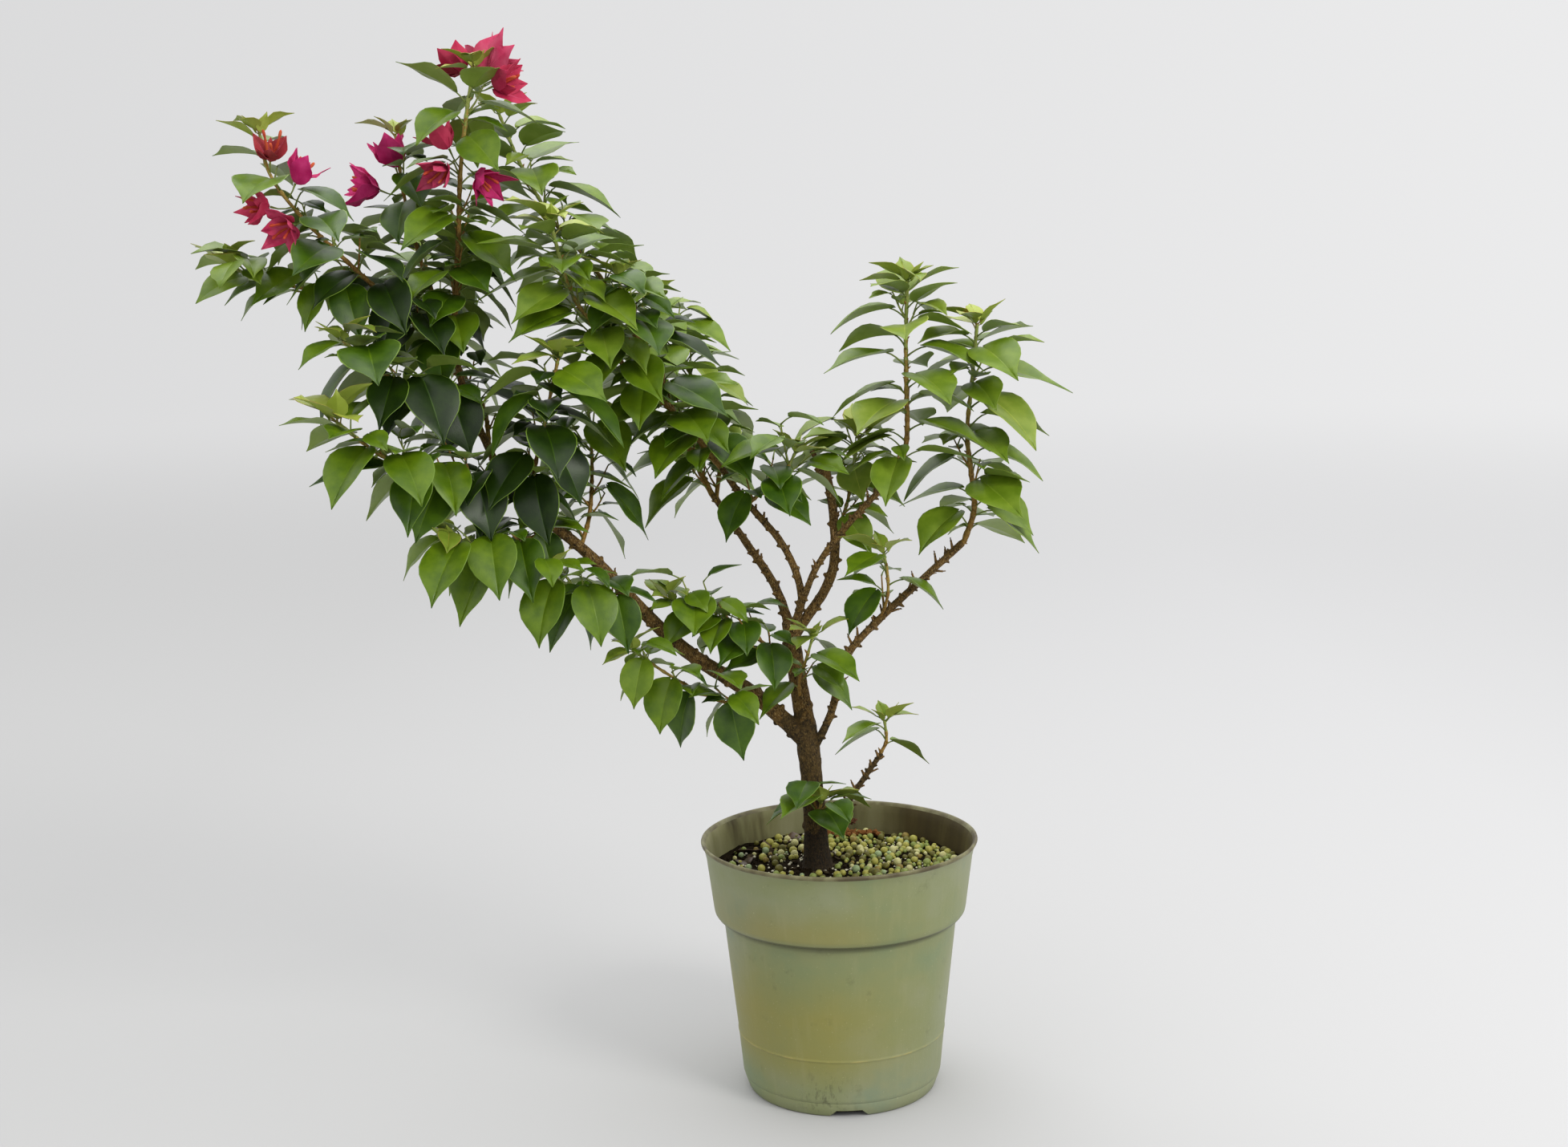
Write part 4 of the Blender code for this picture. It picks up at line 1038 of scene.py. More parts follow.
def rosette(path, scale, chance):
    """The youngest leaves, small and steep, round the tip of a shoot."""
    tangent = (path[-1] - path[-2]).normalized()
    leaves = []
    for i in range(ROSETTE):
        size = chance.uniform(*ROSETTE_LEAF) * scale * MM * (1 - 0.12 * i)
        droop = math.radians(-30 - 9 * i + chance.uniform(-8, 8))
        root = path[-1] - tangent * i * 0.4 * MM
        leaf = make_leaf(root, side_at(tangent, TURN * i), tangent, size, droop, chance)
        leaves.append(leaf._replace(share=1.0))
    return leaves


def twig_leaves(name, twig, share, stems, solids, chance):
    """The small leaves of one side twig that clear all else."""
    turn = chance.uniform(0, ANY_TURN)
    grown = []
    for i in range(TWIG_LEAVES):
        root, tangent = along(twig, 1.0 - 0.24 * i)
        for attempt in range(TWIG_TRIES):
            turn += TURN
            droop = math.radians(chance.uniform(-25, 20))
            size = chance.uniform(*TWIG_LEAF) * MM * (1 - 0.08 * attempt)
            leaf = make_leaf(root, side_at(tangent, turn), tangent, size, droop, chance)
            if fits(name, leaf, leaf.base, stems, solids):
                grown.append(leaf._replace(share=share))
                break
    return grown


# ---------------------------------------------------------------- pieces

class Drawing:
    """Collects many small meshes, each face with its material, and makes one object of them."""

    def __init__(self, name, *materials):
        self.name = name
        self.materials = list(materials)
        self.points, self.faces, self.kinds = [], [], []

    def add(self, points, faces, kinds):
        """Adds a mesh. kinds is one material's name, or one for each face."""
        start = len(self.points)
        self.points.extend(tuple(p) for p in points)
        self.faces.extend(tuple(start + k for k in face) for face in faces)
        names = [kinds] * len(faces) if isinstance(kinds, str) else kinds
        for name in names:
            if name not in self.materials:
                self.materials.append(name)
            self.kinds.append(self.materials.index(name))

    def tube(self, path, radii, sides, kind):
        """Adds a closed tube. Its radii are in millimetres."""
        self.add(*tube_mesh(path, [radius * MM for radius in radii], sides), kind)

    def make(self, paints, smooth=True):
        """The object of all that was added."""
        mesh = bpy.data.meshes.new(self.name)
        mesh.from_pydata(self.points, [], self.faces)
        for used in self.materials:
            mesh.materials.append(paints[used])
        mesh.polygons.foreach_set("material_index", self.kinds)
        mesh.polygons.foreach_set("use_smooth", [smooth] * len(self.faces))
        mesh.update()
        return link(self.name, mesh)


def link(name, data):
    """A new object of that data in the scene."""
    made = bpy.data.objects.new(name, data)
    bpy.context.scene.collection.objects.link(made)
    return made


def settle(piece, slot, *nodes):
    """Puts a finished piece on the body, and hides the CAD nodes that it stands for. slot is not used."""
    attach(piece, "root")
    if nodes:
        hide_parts(*nodes)
    return piece


# ---------------------------------------------------------------- fine leaves and blooms

@functools.cache
def grid_faces(rows, columns):
    """The faces of a closed sheet of rows by columns, top then underside, and the place of each."""
    under, last = rows * columns, (rows - 1) * columns
    faces, places = [], []
    for i in range(rows - 1):
        for j in range(columns - 1):
            a, b = i * columns + j, (i + 1) * columns + j
            faces.append((a, a + 1, b + 1, b))
            faces.append((under + a, under + b, under + b + 1, under + a + 1))
            edge = j in (0, columns - 2)
            rib = j in (columns // 2 - 1, columns // 2) and i < rows - 2
            places += ["margin" if edge else "rib" if rib else "field", "under"]
        for a, b in ((i * columns, (i + 1) * columns), ((i + 2) * columns - 1, (i + 1) * columns - 1)):
            faces.append((a, b, under + b, under + a))
            places.append("margin")
    for j in range(columns - 1):
        faces.append((j, under + j, under + j + 1, j + 1))
        faces.append((last + j, last + j + 1, under + last + j + 1, under + last + j))
        places += ["margin", "margin"]
    return faces, places


def blade_mesh(leaf, outline, chance, relief=VEIN_RELIEF, wave=WAVE):
    """A thin closed blade: folded along its rib, arched, waved at its margin and ridged by side veins."""
    across = np.array(ACROSS)[None, :]
    share = np.array([row[0] for row in outline])[:, None]
    width = np.array([row[1] for row in outline])[:, None]
    out = np.abs(across)
    length, arch, fold = leaf.length, leaf.arch, leaf.fold
    base, ahead, up, side = (np.array(v) for v in (leaf.base, leaf.along, leaf.normal, leaf.side))
    share = share + VEIN_SLANT * out * np.sin(math.pi * share) - LOBES * out ** 2 * (1 - share) ** 6
    bend = (arch * share + np.sign(arch) * TIP_CURL * np.clip(share - 0.75, 0, 1) ** 2)[..., None]
    half = length * leaf.shape / 2 * width * across
    body = np.sin(math.pi * np.clip(share, 0, 1))
    ripple = np.sin(chance.uniform(7.0, 9.5) * share + chance.uniform(0, ANY_TURN) + across * 1.3)
    lift = np.abs(half) * math.sin(fold) * (1.12 - 0.35 * out ** 2)
    lift = lift + wave * MM * length / (FULL_BLADE * MM) * out ** 2 * ripple * np.sqrt(np.clip(body, 0, 1))
    ridges = np.where(np.arange(len(outline)) % 2, 1.0, -1.0)[:, None]
    lift = lift + relief * MM * ridges * (1 - out) * (out > 0.1)
    above = up * np.cos(bend) + ahead * np.sin(bend)
    middle = (base + (ahead * np.sin(bend) - up * (1 - np.cos(bend))) * length / arch
              + side * (half * math.cos(fold))[..., None] + above * lift[..., None])
    facing = above * math.cos(fold) - side * (np.sign(across) * math.sin(fold))[..., None]
    half_thick = (BLADE_THICKNESS * MM / 2 * (1.15 - 0.7 * out))[..., None]
    points = np.concatenate([(middle + facing * half_thick).reshape(-1, 3),
                             (middle - facing * half_thick).reshape(-1, 3)])
    return points, *grid_faces(len(outline), across.size)


def draw_blade(drawing, leaf, outline, colours, chance, **sizes):
    """Adds a blade. colours are those of its field, rib, margin and underside."""
    points, faces, places = blade_mesh(leaf, outline, chance, **sizes)
    by_place = dict(zip(("field", "rib", "margin", "under"), colours))
    drawing.add(points, faces, [by_place[place] for place in places])


def draw_stalk(drawing, leaf, kind, radius):
    """A stalk that leaves the stem outwards and bends over into the blade's rib."""
    reach = leaf.base - leaf.root
    knee = leaf.root + reach * 0.75 + UP * reach.length * 0.12
    end = leaf.base + leaf.along * leaf.length * 0.05 - leaf.normal * 0.1 * MM
    path = [leaf.root.lerp(knee, t).lerp(knee.lerp(end, t), t) for t in (0.0, 0.22, 0.45, 0.7, 1.0)]
    drawing.tube(path, [radius * taper for taper in (1.4, 1.0, 0.9, 0.9, 0.55)], 5, kind)


def tip_tints(name):
    """The colours of the youngest leaves of a shoot."""
    if name in BRONZE_TIPS:
        return "leaf_young", "leaf_tip"
    return ("leaf_young",) * 2 if name in BRIGHT_TIPS else ("leaf_light",) * 2


def leaf_colours(name, share, chance):
    """A leaf's colours by its shoot and age, with painted shade and light: dark in the crown's shaded heart,
    paler at its sunny edges, fresher at its tips.
    """
    if share > 1 - CROWDED_TIP * 0.3:
        return chance.choice(tip_tints(name)), "leaf_young_rib", "leaf_young_rib", "young_under"
    # the shoot's level is painted shade and light as well as freshness: low in the shaded heart, high at the
    # sunny edges
    fresh_and_shade = FRESHNESS_AND_SHADE[name]
    level = fresh_and_shade + (1.7 - 0.35 * fresh_and_shade) * share ** 2 + chance.uniform(-0.6, 0.6)
    level += 1.2 * max(0.0, share - 1 + CROWDED_TIP) / CROWDED_TIP
    level = min(4, max(0, round(level)))
    rib = LEAF_TINTS[level] + "_rib"
    return LEAF_TINTS[level], rib, "leaf_margin" if level < 3 else rib, "leaf_under"


def rolled(leaf, chance):
    """The leaf a little smaller and rolled about its rib, as no two blades lie alike."""
    roll = Matrix.Rotation(math.radians(chance.uniform(-ROLL, ROLL)), 3, leaf.along)
    return leaf._replace(length=leaf.length * DRAWN_LEAF, normal=roll @ leaf.normal)


def draw_leaves(name, leaves, leaf_drawing, stalk_drawing, outline, chance):
    """Adds the blades and the stalks of leaves, each to its own drawing."""
    for grown in leaves:
        leaf = rolled(grown, chance)
        colours = leaf_colours(name, leaf.share, chance)
        draw_blade(leaf_drawing, leaf, outline, colours, chance)
        young = colours[0] in ("leaf_young", "leaf_tip")
        radius = 0.3 + 0.25 * leaf.length / (FULL_BLADE * MM)
        draw_stalk(stalk_drawing, leaf, "stalk_young" if young else "stalk_green", radius)


def draw_bloom(bloom, field, size, drawing, chance):
    """Papery bracts in two loose whorls on a curved stalk, with a slender flower tube in each outer one."""
    path = [bloom.root.lerp(bloom.centre, t) - UP * 1.2 * MM * math.sin(math.pi * t)
            for t in (0, 0.33, 0.66, 1.0)]
    drawing.tube(path, (0.5, 0.42, 0.42, 0.7), 6, "stalk_green")
    for bract in bloom.bracts:
        for leaf in (splayed(bract, (-6, 16), chance), inner_bract(bract, bloom, chance)):
            leaf = leaf._replace(length=leaf.length * size)
            draw_blade(drawing, leaf, BRACT_BLADE, (field, "bract_vein", field, field), chance,
                       relief=BRACT_RELIEF, wave=BRACT_WAVE)
        draw_flower(drawing, bract, bloom.axis, chance)


def splayed(bract, opens, chance):
    """The bract turned out of its cup by some degrees and rolled about its rib, as no two stand alike."""
    out = Matrix.Rotation(math.radians(chance.uniform(*opens)), 3, bract.side)
    if (out @ bract.along).dot(bract.normal) > bract.along.dot(bract.normal):
        out.invert()
    ahead = out @ bract.along
    roll = Matrix.Rotation(math.radians(chance.uniform(-24, 24)), 3, ahead)
    length = bract.length * chance.uniform(0.84, 1.0)
    shape = bract.shape * chance.uniform(0.98, 1.12)
    fold, arch = math.radians(chance.uniform(8, 24)), math.radians(chance.uniform(-30, -8))
    return Blade(bract.root, bract.base, ahead, roll @ (out @ bract.normal), length, shape, fold, arch)


def inner_bract(bract, bloom, chance):
    """A smaller bract in the gap beside this one, some steep and some open."""
    turn = Matrix.Rotation(math.radians(60) + chance.uniform(-0.3, 0.3), 3, bloom.axis)
    ahead = (turn @ bract.along + bloom.axis * chance.uniform(-0.1, 0.7)).normalized()
    normal = square_to(turn @ bract.normal, ahead)
    length = bract.length * chance.uniform(0.72, 0.9)
    base = bloom.centre + ahead * 1.5 * MM
    return splayed(bract._replace(base=base, along=ahead, normal=normal, length=length), (-8, 8), chance)


def draw_flower(drawing, bract, axis, chance):
    """A slender tube that widens to a small bud, in the cup of its bract."""
    heading = (axis * 1.3 + bract.along * chance.uniform(0.2, 1.2)).normalized()
    length = chance.uniform(12, 17) * MM
    sway = bract.side * chance.uniform(-1.4, 1.4) * MM
    path = [bract.base + heading * length * s + sway * math.sin(math.pi * s) for s in FLOWER_SHARES]
    drawing.tube(path, FLOWER_RADII, 6, "flower_tube")


# ---------------------------------------------------------------- stems and bark

def rooted(name, path):
    """The stem's path with a first point inside the limb or stem that carries it."""
    carriers = [points for _, _, points in LIMBS.values()]
    carriers += [shoot.points for other, shoot in SHOOTS.items() if other != name]
    axes = [smooth_path(points, FINE_STEP) for points in carriers]
    _, axis, i = min(((spot - path[0]).length, a, i) for a, axis in enumerate(axes)
                     for i, spot in enumerate(axis))
    return [axes[axis][max(0, i - 2)], *path]


def stem_radii(shoot, path, nodes):
    """The radii in millimetres of a drawn stem, swollen at each of its leaves."""
    length = path_length(path) / MM
    radii = []
    for share in shares_of(path):
        near = min((abs(share - node) for node in nodes), default=1.0) * length
        plain = shoot.foot_radius + (shoot.tip_radius - shoot.foot_radius) * share
        radii.append(plain * 0.92 + 0.35 * math.exp(-(near / 1.3) ** 2))
    return radii


def draw_stems(grown, paints):
    """The leafy stems, browner at the foot, with their side twigs."""
    drawing = Drawing("stems")
    chance = random.Random(21)
    for name, (leaves, twigs) in grown.items():
        path = rooted(name, smooth_path(SHOOTS[name].points, FINE_STEP))
        shares = shares_of(path)
        nodes = [leaf.share for leaf in leaves]
        radii = [radius * MM for radius in stem_radii(SHOOTS[name], path, nodes)]
        points, faces = tube_mesh(path, radii, STEM_RING)
        kinds = [stem_colour(name, shares[min(len(shares) - 1, i // STEM_RING)], chance)
                 for i in range(len(faces))]
        drawing.add(points, faces, kinds)
        draw_buds(drawing, path, nodes, chance)
        for twig, _, share in twigs:
            radii = [TWIG_RADIUS * taper for taper in (1.5, 1.1, 0.8)]
            drawing.tube(twig, radii, 6, "stem_brown" if share < 0.5 else "stem_green")
    return drawing.make(paints)


def stem_colour(name, share, chance):
    """Brown at the shoot's foot, through tan to green at its tip, with a ragged border between them."""
    # the shoot's level of freshness and painted light also shifts the border: greener on sunny shoots,
    # browner in the shaded heart
    level = share + chance.uniform(-0.07, 0.07) + 0.1 * (FRESHNESS_AND_SHADE[name] - 1)
    return "stem_brown" if level < 0.6 else "stem_tan" if level < 0.86 else "stem_green"


def draw_buds(drawing, path, nodes, chance):
    """Stubs of old stalks and thorns, and buds, beside the leaves."""
    turn = chance.uniform(0, 6)
    for share in nodes:
        if share > BUDS_END or chance.random() < BARE_CHANCE:
            continue
        turn += TURN
        root, tangent = along(path, share)
        out = side_at(tangent, turn)
        tip = root + (out + tangent * 0.8).normalized() * chance.uniform(2.2, 3.8) * MM
        middle = root.lerp(tip, 0.6) + tangent * 0.2 * MM
        drawing.tube([root, middle, tip], (0.75, 0.62, 0.15), 5, "stem_brown")


def limb_skeletons():
    """Each limb's fine path and radii, from inside the limb that carries it, with a collar at its foot."""
    made = {}
    for name, (first, last, points) in LIMBS.items():
        path = smooth_path(points, 1.5)
        if name == "trunk":
            path.insert(0, path[0] - UP * 4 * MM)
        radii = limb_radii(name, path, first, last)
        run = 0.0
        for i in range(len(path)):
            run += (path[i] - path[max(0, i - 1)]).length / MM
            if name != "trunk":
                radii[i] += 0.25 * first * MM * math.exp(-run / 6)
        made[name] = (path, radii)
    return made


def draw_knots(skin, name, path, radii, chance):
    """Leaf scars that stand out as knots, following each other round the limb."""
    length = path_length(path) / MM
    at, stands, apart = TRUNK_KNOTS if name == "trunk" else BOUGH_KNOTS
    turn = chance.uniform(0, 6)
    while at < length - 2:
        share = at / length
        root, tangent = along(path, share)
        radius = radii[min(len(radii) - 1, round(share * (len(radii) - 1)))]
        out = side_at(tangent, turn)
        height = chance.uniform(*stands) * KNOBBLY.get(name, 1.0)
        foot = root + out * (radius - 1.2 * MM)
        tip = root + out * (radius + height * MM) + tangent * 0.9 * MM
        wide = radius / MM * 0.3 + 0.55
        spine = [foot - tangent * 0.6 * MM, foot.lerp(tip, 0.6), tip]
        skin.tube(spine, (wide, wide * 0.85, wide * 0.5), 7, "bark")
        turn += TURN
        at += chance.uniform(*apart)


def draw_spurs(paints, skeletons):
    """Stubs of old flower stalks and stalks' feet that stick out of the boughs, some of them forked."""
    drawing = Drawing("spurs")
    chance = random.Random(8)
    for name, count, begin, size in SPURS:
        axis, radii = skeletons[name]
        radius = sum(radii) / len(radii)
        for i in range(count):
            root, tangent = along(axis, begin + (0.99 - begin) * (i + chance.random()) / count)
            out = side_at(tangent, chance.uniform(0, ANY_TURN))
            heading = (out + tangent * 0.4 + UP * 0.5).normalized()
            length = radius + chance.uniform(1.4, 4.2) * size * MM
            tip = root + heading * length + tangent * chance.uniform(-0.8, 1.2) * MM
            path = [root, root + heading * (radius + 0.6 * MM), root.lerp(tip, 0.85), tip]
            drawing.tube(path, (1.3, 0.85, 0.6, 0.68), 6, "bark_twig")
            if length <= FORKED_SPUR * MM:
                continue
            for turn in (-0.6, 0.6):
                fork = Matrix.Rotation(turn, 3, tangent) @ heading
                path = [tip - heading * 0.4 * MM, tip + fork * 1.8 * MM]
                drawing.tube(path, (0.38, 0.25), 5, "bark_twig")
    draw_dry_stub(drawing, chance)
    return drawing.make(paints)


def draw_dry_stub(drawing, chance):
    """The knobbly remains of a twig that broke off low on the trunk."""
    path = smooth_path(DRY_STUB, 1.2)
    drawing.tube(path, [chance.uniform(0.9, 1.7) for _ in path], 7, "bark_dry")
    for spot in path[4:]:
        out = Vector([chance.uniform(-1, 1) for _ in range(3)]).normalized()
        tip = spot + out * chance.uniform(1.6, 3.0) * MM
        drawing.tube([spot, spot.lerp(tip, 0.6), tip], (1.1, 0.9, 0.6), 6, "bark_dry")


def make_bark(paints, skeletons):
    """Trunk and boughs as one skin: fused by a voxel remesh, then furrowed along each limb."""
    skin = Drawing("bark", *BARK_KINDS)
    chance = random.Random(5)
    for name, (path, radii) in skeletons.items():
        skin.add(*tube_mesh(path, radii, 14), "bark")
        draw_knots(skin, name, path, radii, chance)
    draw_cut_end(skin, skeletons["bough_stub"][0][-1])
    bark = skin.make(paints)
    remesh = bark.modifiers.new("skin", "REMESH")
    remesh.mode = "VOXEL"
    remesh.voxel_size = BARK_VOXEL * MM
    apply_modifiers(bark)
    furrow_bark(bark.data, skeletons)
    colour_bark(bark.data)
    return bark


def apply_modifiers(piece):
    """Gives the piece the mesh that its modifiers make."""
    graph = bpy.context.evaluated_depsgraph_get()
    piece.data = bpy.data.meshes.new_from_object(piece.evaluated_get(graph))
    piece.modifiers.clear()


def draw_cut_end(skin, top):
    """The sawn top of the stub, with the knobs of twigs that were cut off beside it."""
    for x, y, z, wide in CUT_KNOBS:
        tip = top + point((x, y, z))
        root = top - UP * (10 * MM - z * 0.3 * MM)
        skin.tube([root, root.lerp(tip, 0.7), tip], (2.0, wide, wide * 1.15), 8, "bark")


def furrow_bark(mesh, skeletons):
    """Moves the skin in and out by noise that is drawn out along the limbs."""
    rows = [(middle, radius, axes, i) for path, radii in skeletons.values()
            for i, (middle, radius, axes) in enumerate(zip(path, radii, ring_axes(path)))]
    tree = KDTree(len(rows))
    for i, row in enumerate(rows):
        tree.insert(row[0], i)
    tree.balance()
    normals = [v.normal.copy() for v in mesh.vertices]
    for vertex, normal in zip(mesh.vertices, normals):
        _, i, _ = tree.find(vertex.co)
        middle, radius, (a, b), step = rows[i]
        out = vertex.co - middle
        around = Vector((out.dot(a), out.dot(b), 0)).normalized() * (radius / MM) * 0.75
        around.z = (step * 1.5 + out.dot(a.cross(b)) / MM) * 0.16
        depth = 0.10 + 0.055 * min(6.0, radius / MM)
        vertex.co += normal * (noise.noise(around) * depth + noise.noise(vertex.co * 900) * 0.1) * MM


def colour_bark(mesh):
    """Darker bark at the foot and on the old trunk, with ragged borders."""
    kinds = []
    for face in mesh.polygons:
        height = face.center.z / MM + noise.noise(face.center * 160) * 14
        kinds.append(sum(height >= border for border in OLD_BARK))
    mesh.polygons.foreach_set("material_index", kinds)
    mesh.polygons.foreach_set("use_smooth", [True] * len(mesh.polygons))
    mesh.update()


# ---------------------------------------------------------------- the pot and what fills it

def lathe(profile, sides):
    """A closed mesh of revolution. The profile runs from the axis, round the outside and back to the axis."""
    vertices, faces, rings = [], [], []
    for radius, height in profile:
        if radius == 0:
            rings.append([len(vertices)])
            vertices.append(point((0, 0, height)))
            continue
        rings.append(list(range(len(vertices), len(vertices) + sides)))
        for k in range(sides):
            turn = 2 * math.pi * (k + 0.5) / sides
            vertices.append(point((radius * math.cos(turn), radius * math.sin(turn), height)))
    for a, b in zip(rings, rings[1:]):
        for k in range(sides):
            nxt = (k + 1) % sides
            if len(a) == 1:
                faces.append((a[0], b[nxt], b[k]))
            elif len(b) == 1:
                faces.append((a[k], a[nxt], b[0]))
            else:
                faces.append((a[k], a[nxt], b[nxt], b[k]))
    return vertices, outward_faces(vertices, faces)


def outer_radius(height):
    """The radius of the pot's wall under its band, at that height in millimetres."""
    return FOOT_TOP_RADIUS + (SHOULDER_RADIUS - FOOT_TOP_RADIUS) * (height - FOOT_TOP) / (SHOULDER - FOOT_TOP)


def inner_profile(floor, top, inset):
    """The radii and heights of the pot's inside, from the floor up, drawn in by inset."""
    heights = (floor, SHOULDER + 1.0, BAND_BOTTOM + 1.5, top)
    radii = (outer_radius(floor), SHOULDER_RADIUS, BAND_BOTTOM_RADIUS,
             BAND_BOTTOM_RADIUS + (BAND_TOP_RADIUS - BAND_BOTTOM_RADIUS) * (top - BAND_BOTTOM)
             / (POT_HEIGHT - BAND_BOTTOM))
    return [(radius - WALL - inset, height) for radius, height in zip(radii, heights)]


def make_pot(paints):
    """The nursery pot with its lip, deep band, mould ring and notched foot, a little out of round."""
    profile = (*OUTSIDE, *RIM, *INSIDE)
    vertices, faces = lathe(profile, POT_TURNS)
    for vertex in vertices:
        turn = math.atan2(vertex.y, vertex.x)
        rise = min(1.0, max(0.0, vertex.z / (POT_HEIGHT * MM))) ** 2
        away = 1 + (math.sin(2 * turn + 0.4) + 0.5 * math.sin(3 * turn + 1.0)) * rise * WOBBLE / RIM_RADIUS
        vertex.x *= away
        vertex.y *= away
    rows = ["pot_wall"] * (len(OUTSIDE) - 1) + ["pot_edge"] * (len(RIM) + 1)
    rows += ["pot_inside"] * (len(INSIDE) - 1)
    drawing = Drawing("nursery_pot", "pot_wall", "pot_edge", "pot_inside")
    drawing.add(vertices, faces, [kind for kind in rows for _ in range(POT_TURNS)])
    pot = drawing.make(paints)
    for i in range(NOTCHES):
        cut_notch(pot, i, paints)
    pot.data.set_sharp_from_angle(angle=math.radians(50))
    return pot


def cut_notch(pot, i, paints):
    """One drainage notch with a sloped top, cut through the foot."""
    outline = [(-NOTCH_WIDTH / 2, -1.0), (NOTCH_WIDTH / 2, -1.0), (NOTCH_TOP_WIDTH / 2, NOTCH_HEIGHT),
               (-NOTCH_TOP_WIDTH / 2, NOTCH_HEIGHT)]
    near, far = -(FOOT_TOP_RADIUS + 5.0), -(FOOT_RADIUS - NOTCH_DEPTH)
    turn = Matrix.Rotation(NOTCH_TURN + 2 * math.pi * i / NOTCHES, 3, "Z")
    vertices = [turn @ point((x, y, z)) for y in (near, far) for x, z in outline]
    faces = [(0, 1, 2, 3), (7, 6, 5, 4), (0, 4, 5, 1), (1, 5, 6, 2), (2, 6, 7, 3), (3, 7, 4, 0)]
    block = Drawing("notch", "pot_wall")
    block.add(vertices, outward_faces(vertices, faces), "pot_wall")
    cutter = block.make(paints, smooth=False)
    modifier = pot.modifiers.new("notch", "BOOLEAN")
    modifier.operation, modifier.solver, modifier.object = "DIFFERENCE", "EXACT", cutter
    apply_modifiers(pot)
    bpy.data.objects.remove(cutter)


def soil_height(x, y):
    """Height of the soil's surface in millimetres, at a place given in millimetres."""
    lumps = noise.noise(Vector((x, y, 3.0)) * 0.055) * 1.3 + noise.noise(Vector((x, y, 9.0)) * 0.2) * 0.9
    mound = 0.8 * math.exp(-((x - TRUNK_FOOT_X) ** 2 + y ** 2) / 260)
    return SOIL_LEVEL - 1.9 + lumps * 0.8 + mound + 0.35 * noise.noise(Vector((x, y, 0.0)) * 0.7)


def make_soil(paints):
    """The potting mix: a finely lumpy surface on a plug that fills the pot."""
    floor, top, gap = FLOOR + GAP / MM, SOIL_LEVEL - 3.0, GAP / MM
    plug = inner_profile(floor, top, gap)
    reach = plug[-1][0]
    rings = [(reach * (1 - i / SOIL_RINGS), SOIL_LEVEL) for i in range(SOIL_RINGS)]
    vertices, faces = lathe([(0, floor), *plug[:-1], *rings, (0, SOIL_LEVEL)], POT_TURNS)
    for vertex in vertices:
        if vertex.z > (SOIL_LEVEL - 1) * MM:
            vertex.z = soil_height(vertex.x / MM, vertex.y / MM) * MM
    drawing = Drawing("potting_soil", "soil")
    drawing.add(vertices, faces, "soil")
    return drawing.make(paints)


def ball(rounds):
    """The points and faces of a ball of radius 1."""
    mesh = bmesh.new()
    bmesh.ops.create_icosphere(mesh, subdivisions=rounds, radius=1.0)
    mesh.verts.index_update()
    points = np.array([v.co for v in mesh.verts])
    faces = [tuple(v.index for v in face.verts) for face in mesh.faces]
    mesh.free()
    return points, faces


def bead_density(x, y):
    """How thickly the beads lie: piled on the right, thin at the left and in front, none by the trunk."""
    from_trunk = math.hypot(x - TRUNK_FOOT_X, y)
    if from_trunk < 12:
        return 0.0
    right = 1 / (1 + math.exp(-(x + 0.35 * y) / 6))
    behind = 0.4 if y > 8 and -45 < x < 0 else 0.0
    thin = 0.07 if y > -20 else 0.1
    return max(thin, 0.7 * right, behind) * (0.35 if from_trunk < 20 else 1.0)


def scatter(chance, count, reach, space, density):
    """Places in the pot that keep their own space from each other, in millimetres."""
    placed = []
    for _ in range(count):
        away, turn = reach * math.sqrt(chance.random()), chance.uniform(0, 2 * math.pi)
        x, y = away * math.cos(turn), away * math.sin(turn)
        size = chance.uniform(*space)
        if chance.random() > density(x, y):
            continue
        if all((x - a) ** 2 + (y - b) ** 2 > (0.86 * (size + c)) ** 2 for a, b, c in placed):
            placed.append((x, y, size))
    return placed


def make_beads(paints):
    """Round fertiliser beads in greens, yellows and tans on the soil."""
    drawing = Drawing("feed_beads")
    chance = random.Random(31)
    points, faces = ball(2)
    for x, y, radius in scatter(chance, 3400, 71.0, (0.9, 2.7), bead_density):
        centre = np.array((x, y, soil_height(x, y) + radius * 0.62 + 0.25)) * MM
        squash = np.array([chance.uniform(0.9, 1.06) for _ in range(3)])
        drawing.add(points * radius * MM * squash + centre, faces, chance.choice(BEADS))
    return drawing.make(paints)


# The kinds of crumb: number of tries, sizes, how thickly they lie, how high they stand for their size
CRUMBS = (
    ("crumb", 1500, (0.5, 1.5), lambda x, y: 1.0 - 0.55 * bead_density(x, y), 0.45),
    ("perlite", 900, (0.45, 1.15), lambda x, y: 0.25 + 0.5 * bead_density(x, y), 1.1),
    ("chip", 160, (1.2, 3.0), lambda x, y: 0.75 if x < 0 else 0.3, 0.6),
)


def make_crumbs(paints):
    """Crumbs of peat, bits of perlite and bark chips between the beads, and heaps of rusty debris."""
    drawing = Drawing("soil_crumbs")
    chance = random.Random(32)
    ball_points, faces = ball(1)

    def drop(kind, x, y, size, stands):
        drawing.add(rough_lump(ball_points, x, y, size, stands, kind, chance), faces, kind)

    for kind, count, space, density, stands in CRUMBS:
        for x, y, size in scatter(chance, count, 71.5, space, density):
            drop(kind, x, y, size, stands)
    for x, y, size in scatter(chance, 260, 10.0, (0.8, 2.2), lambda x, y: 0.8):
        drop("crumb", x + TRUNK_FOOT_X, y * 0.9, size, 0.6)
    for middle_x, middle_y, count in RUST_HEAPS:
        for _ in range(count):
            x, y = middle_x + chance.gauss(0, 6), middle_y + chance.gauss(0, 2.5)
            if math.hypot(x, y) < 71:
                drop("rust", x, y, chance.uniform(1.0, 2.8), 2.2)
    return drawing.make(paints, smooth=False)


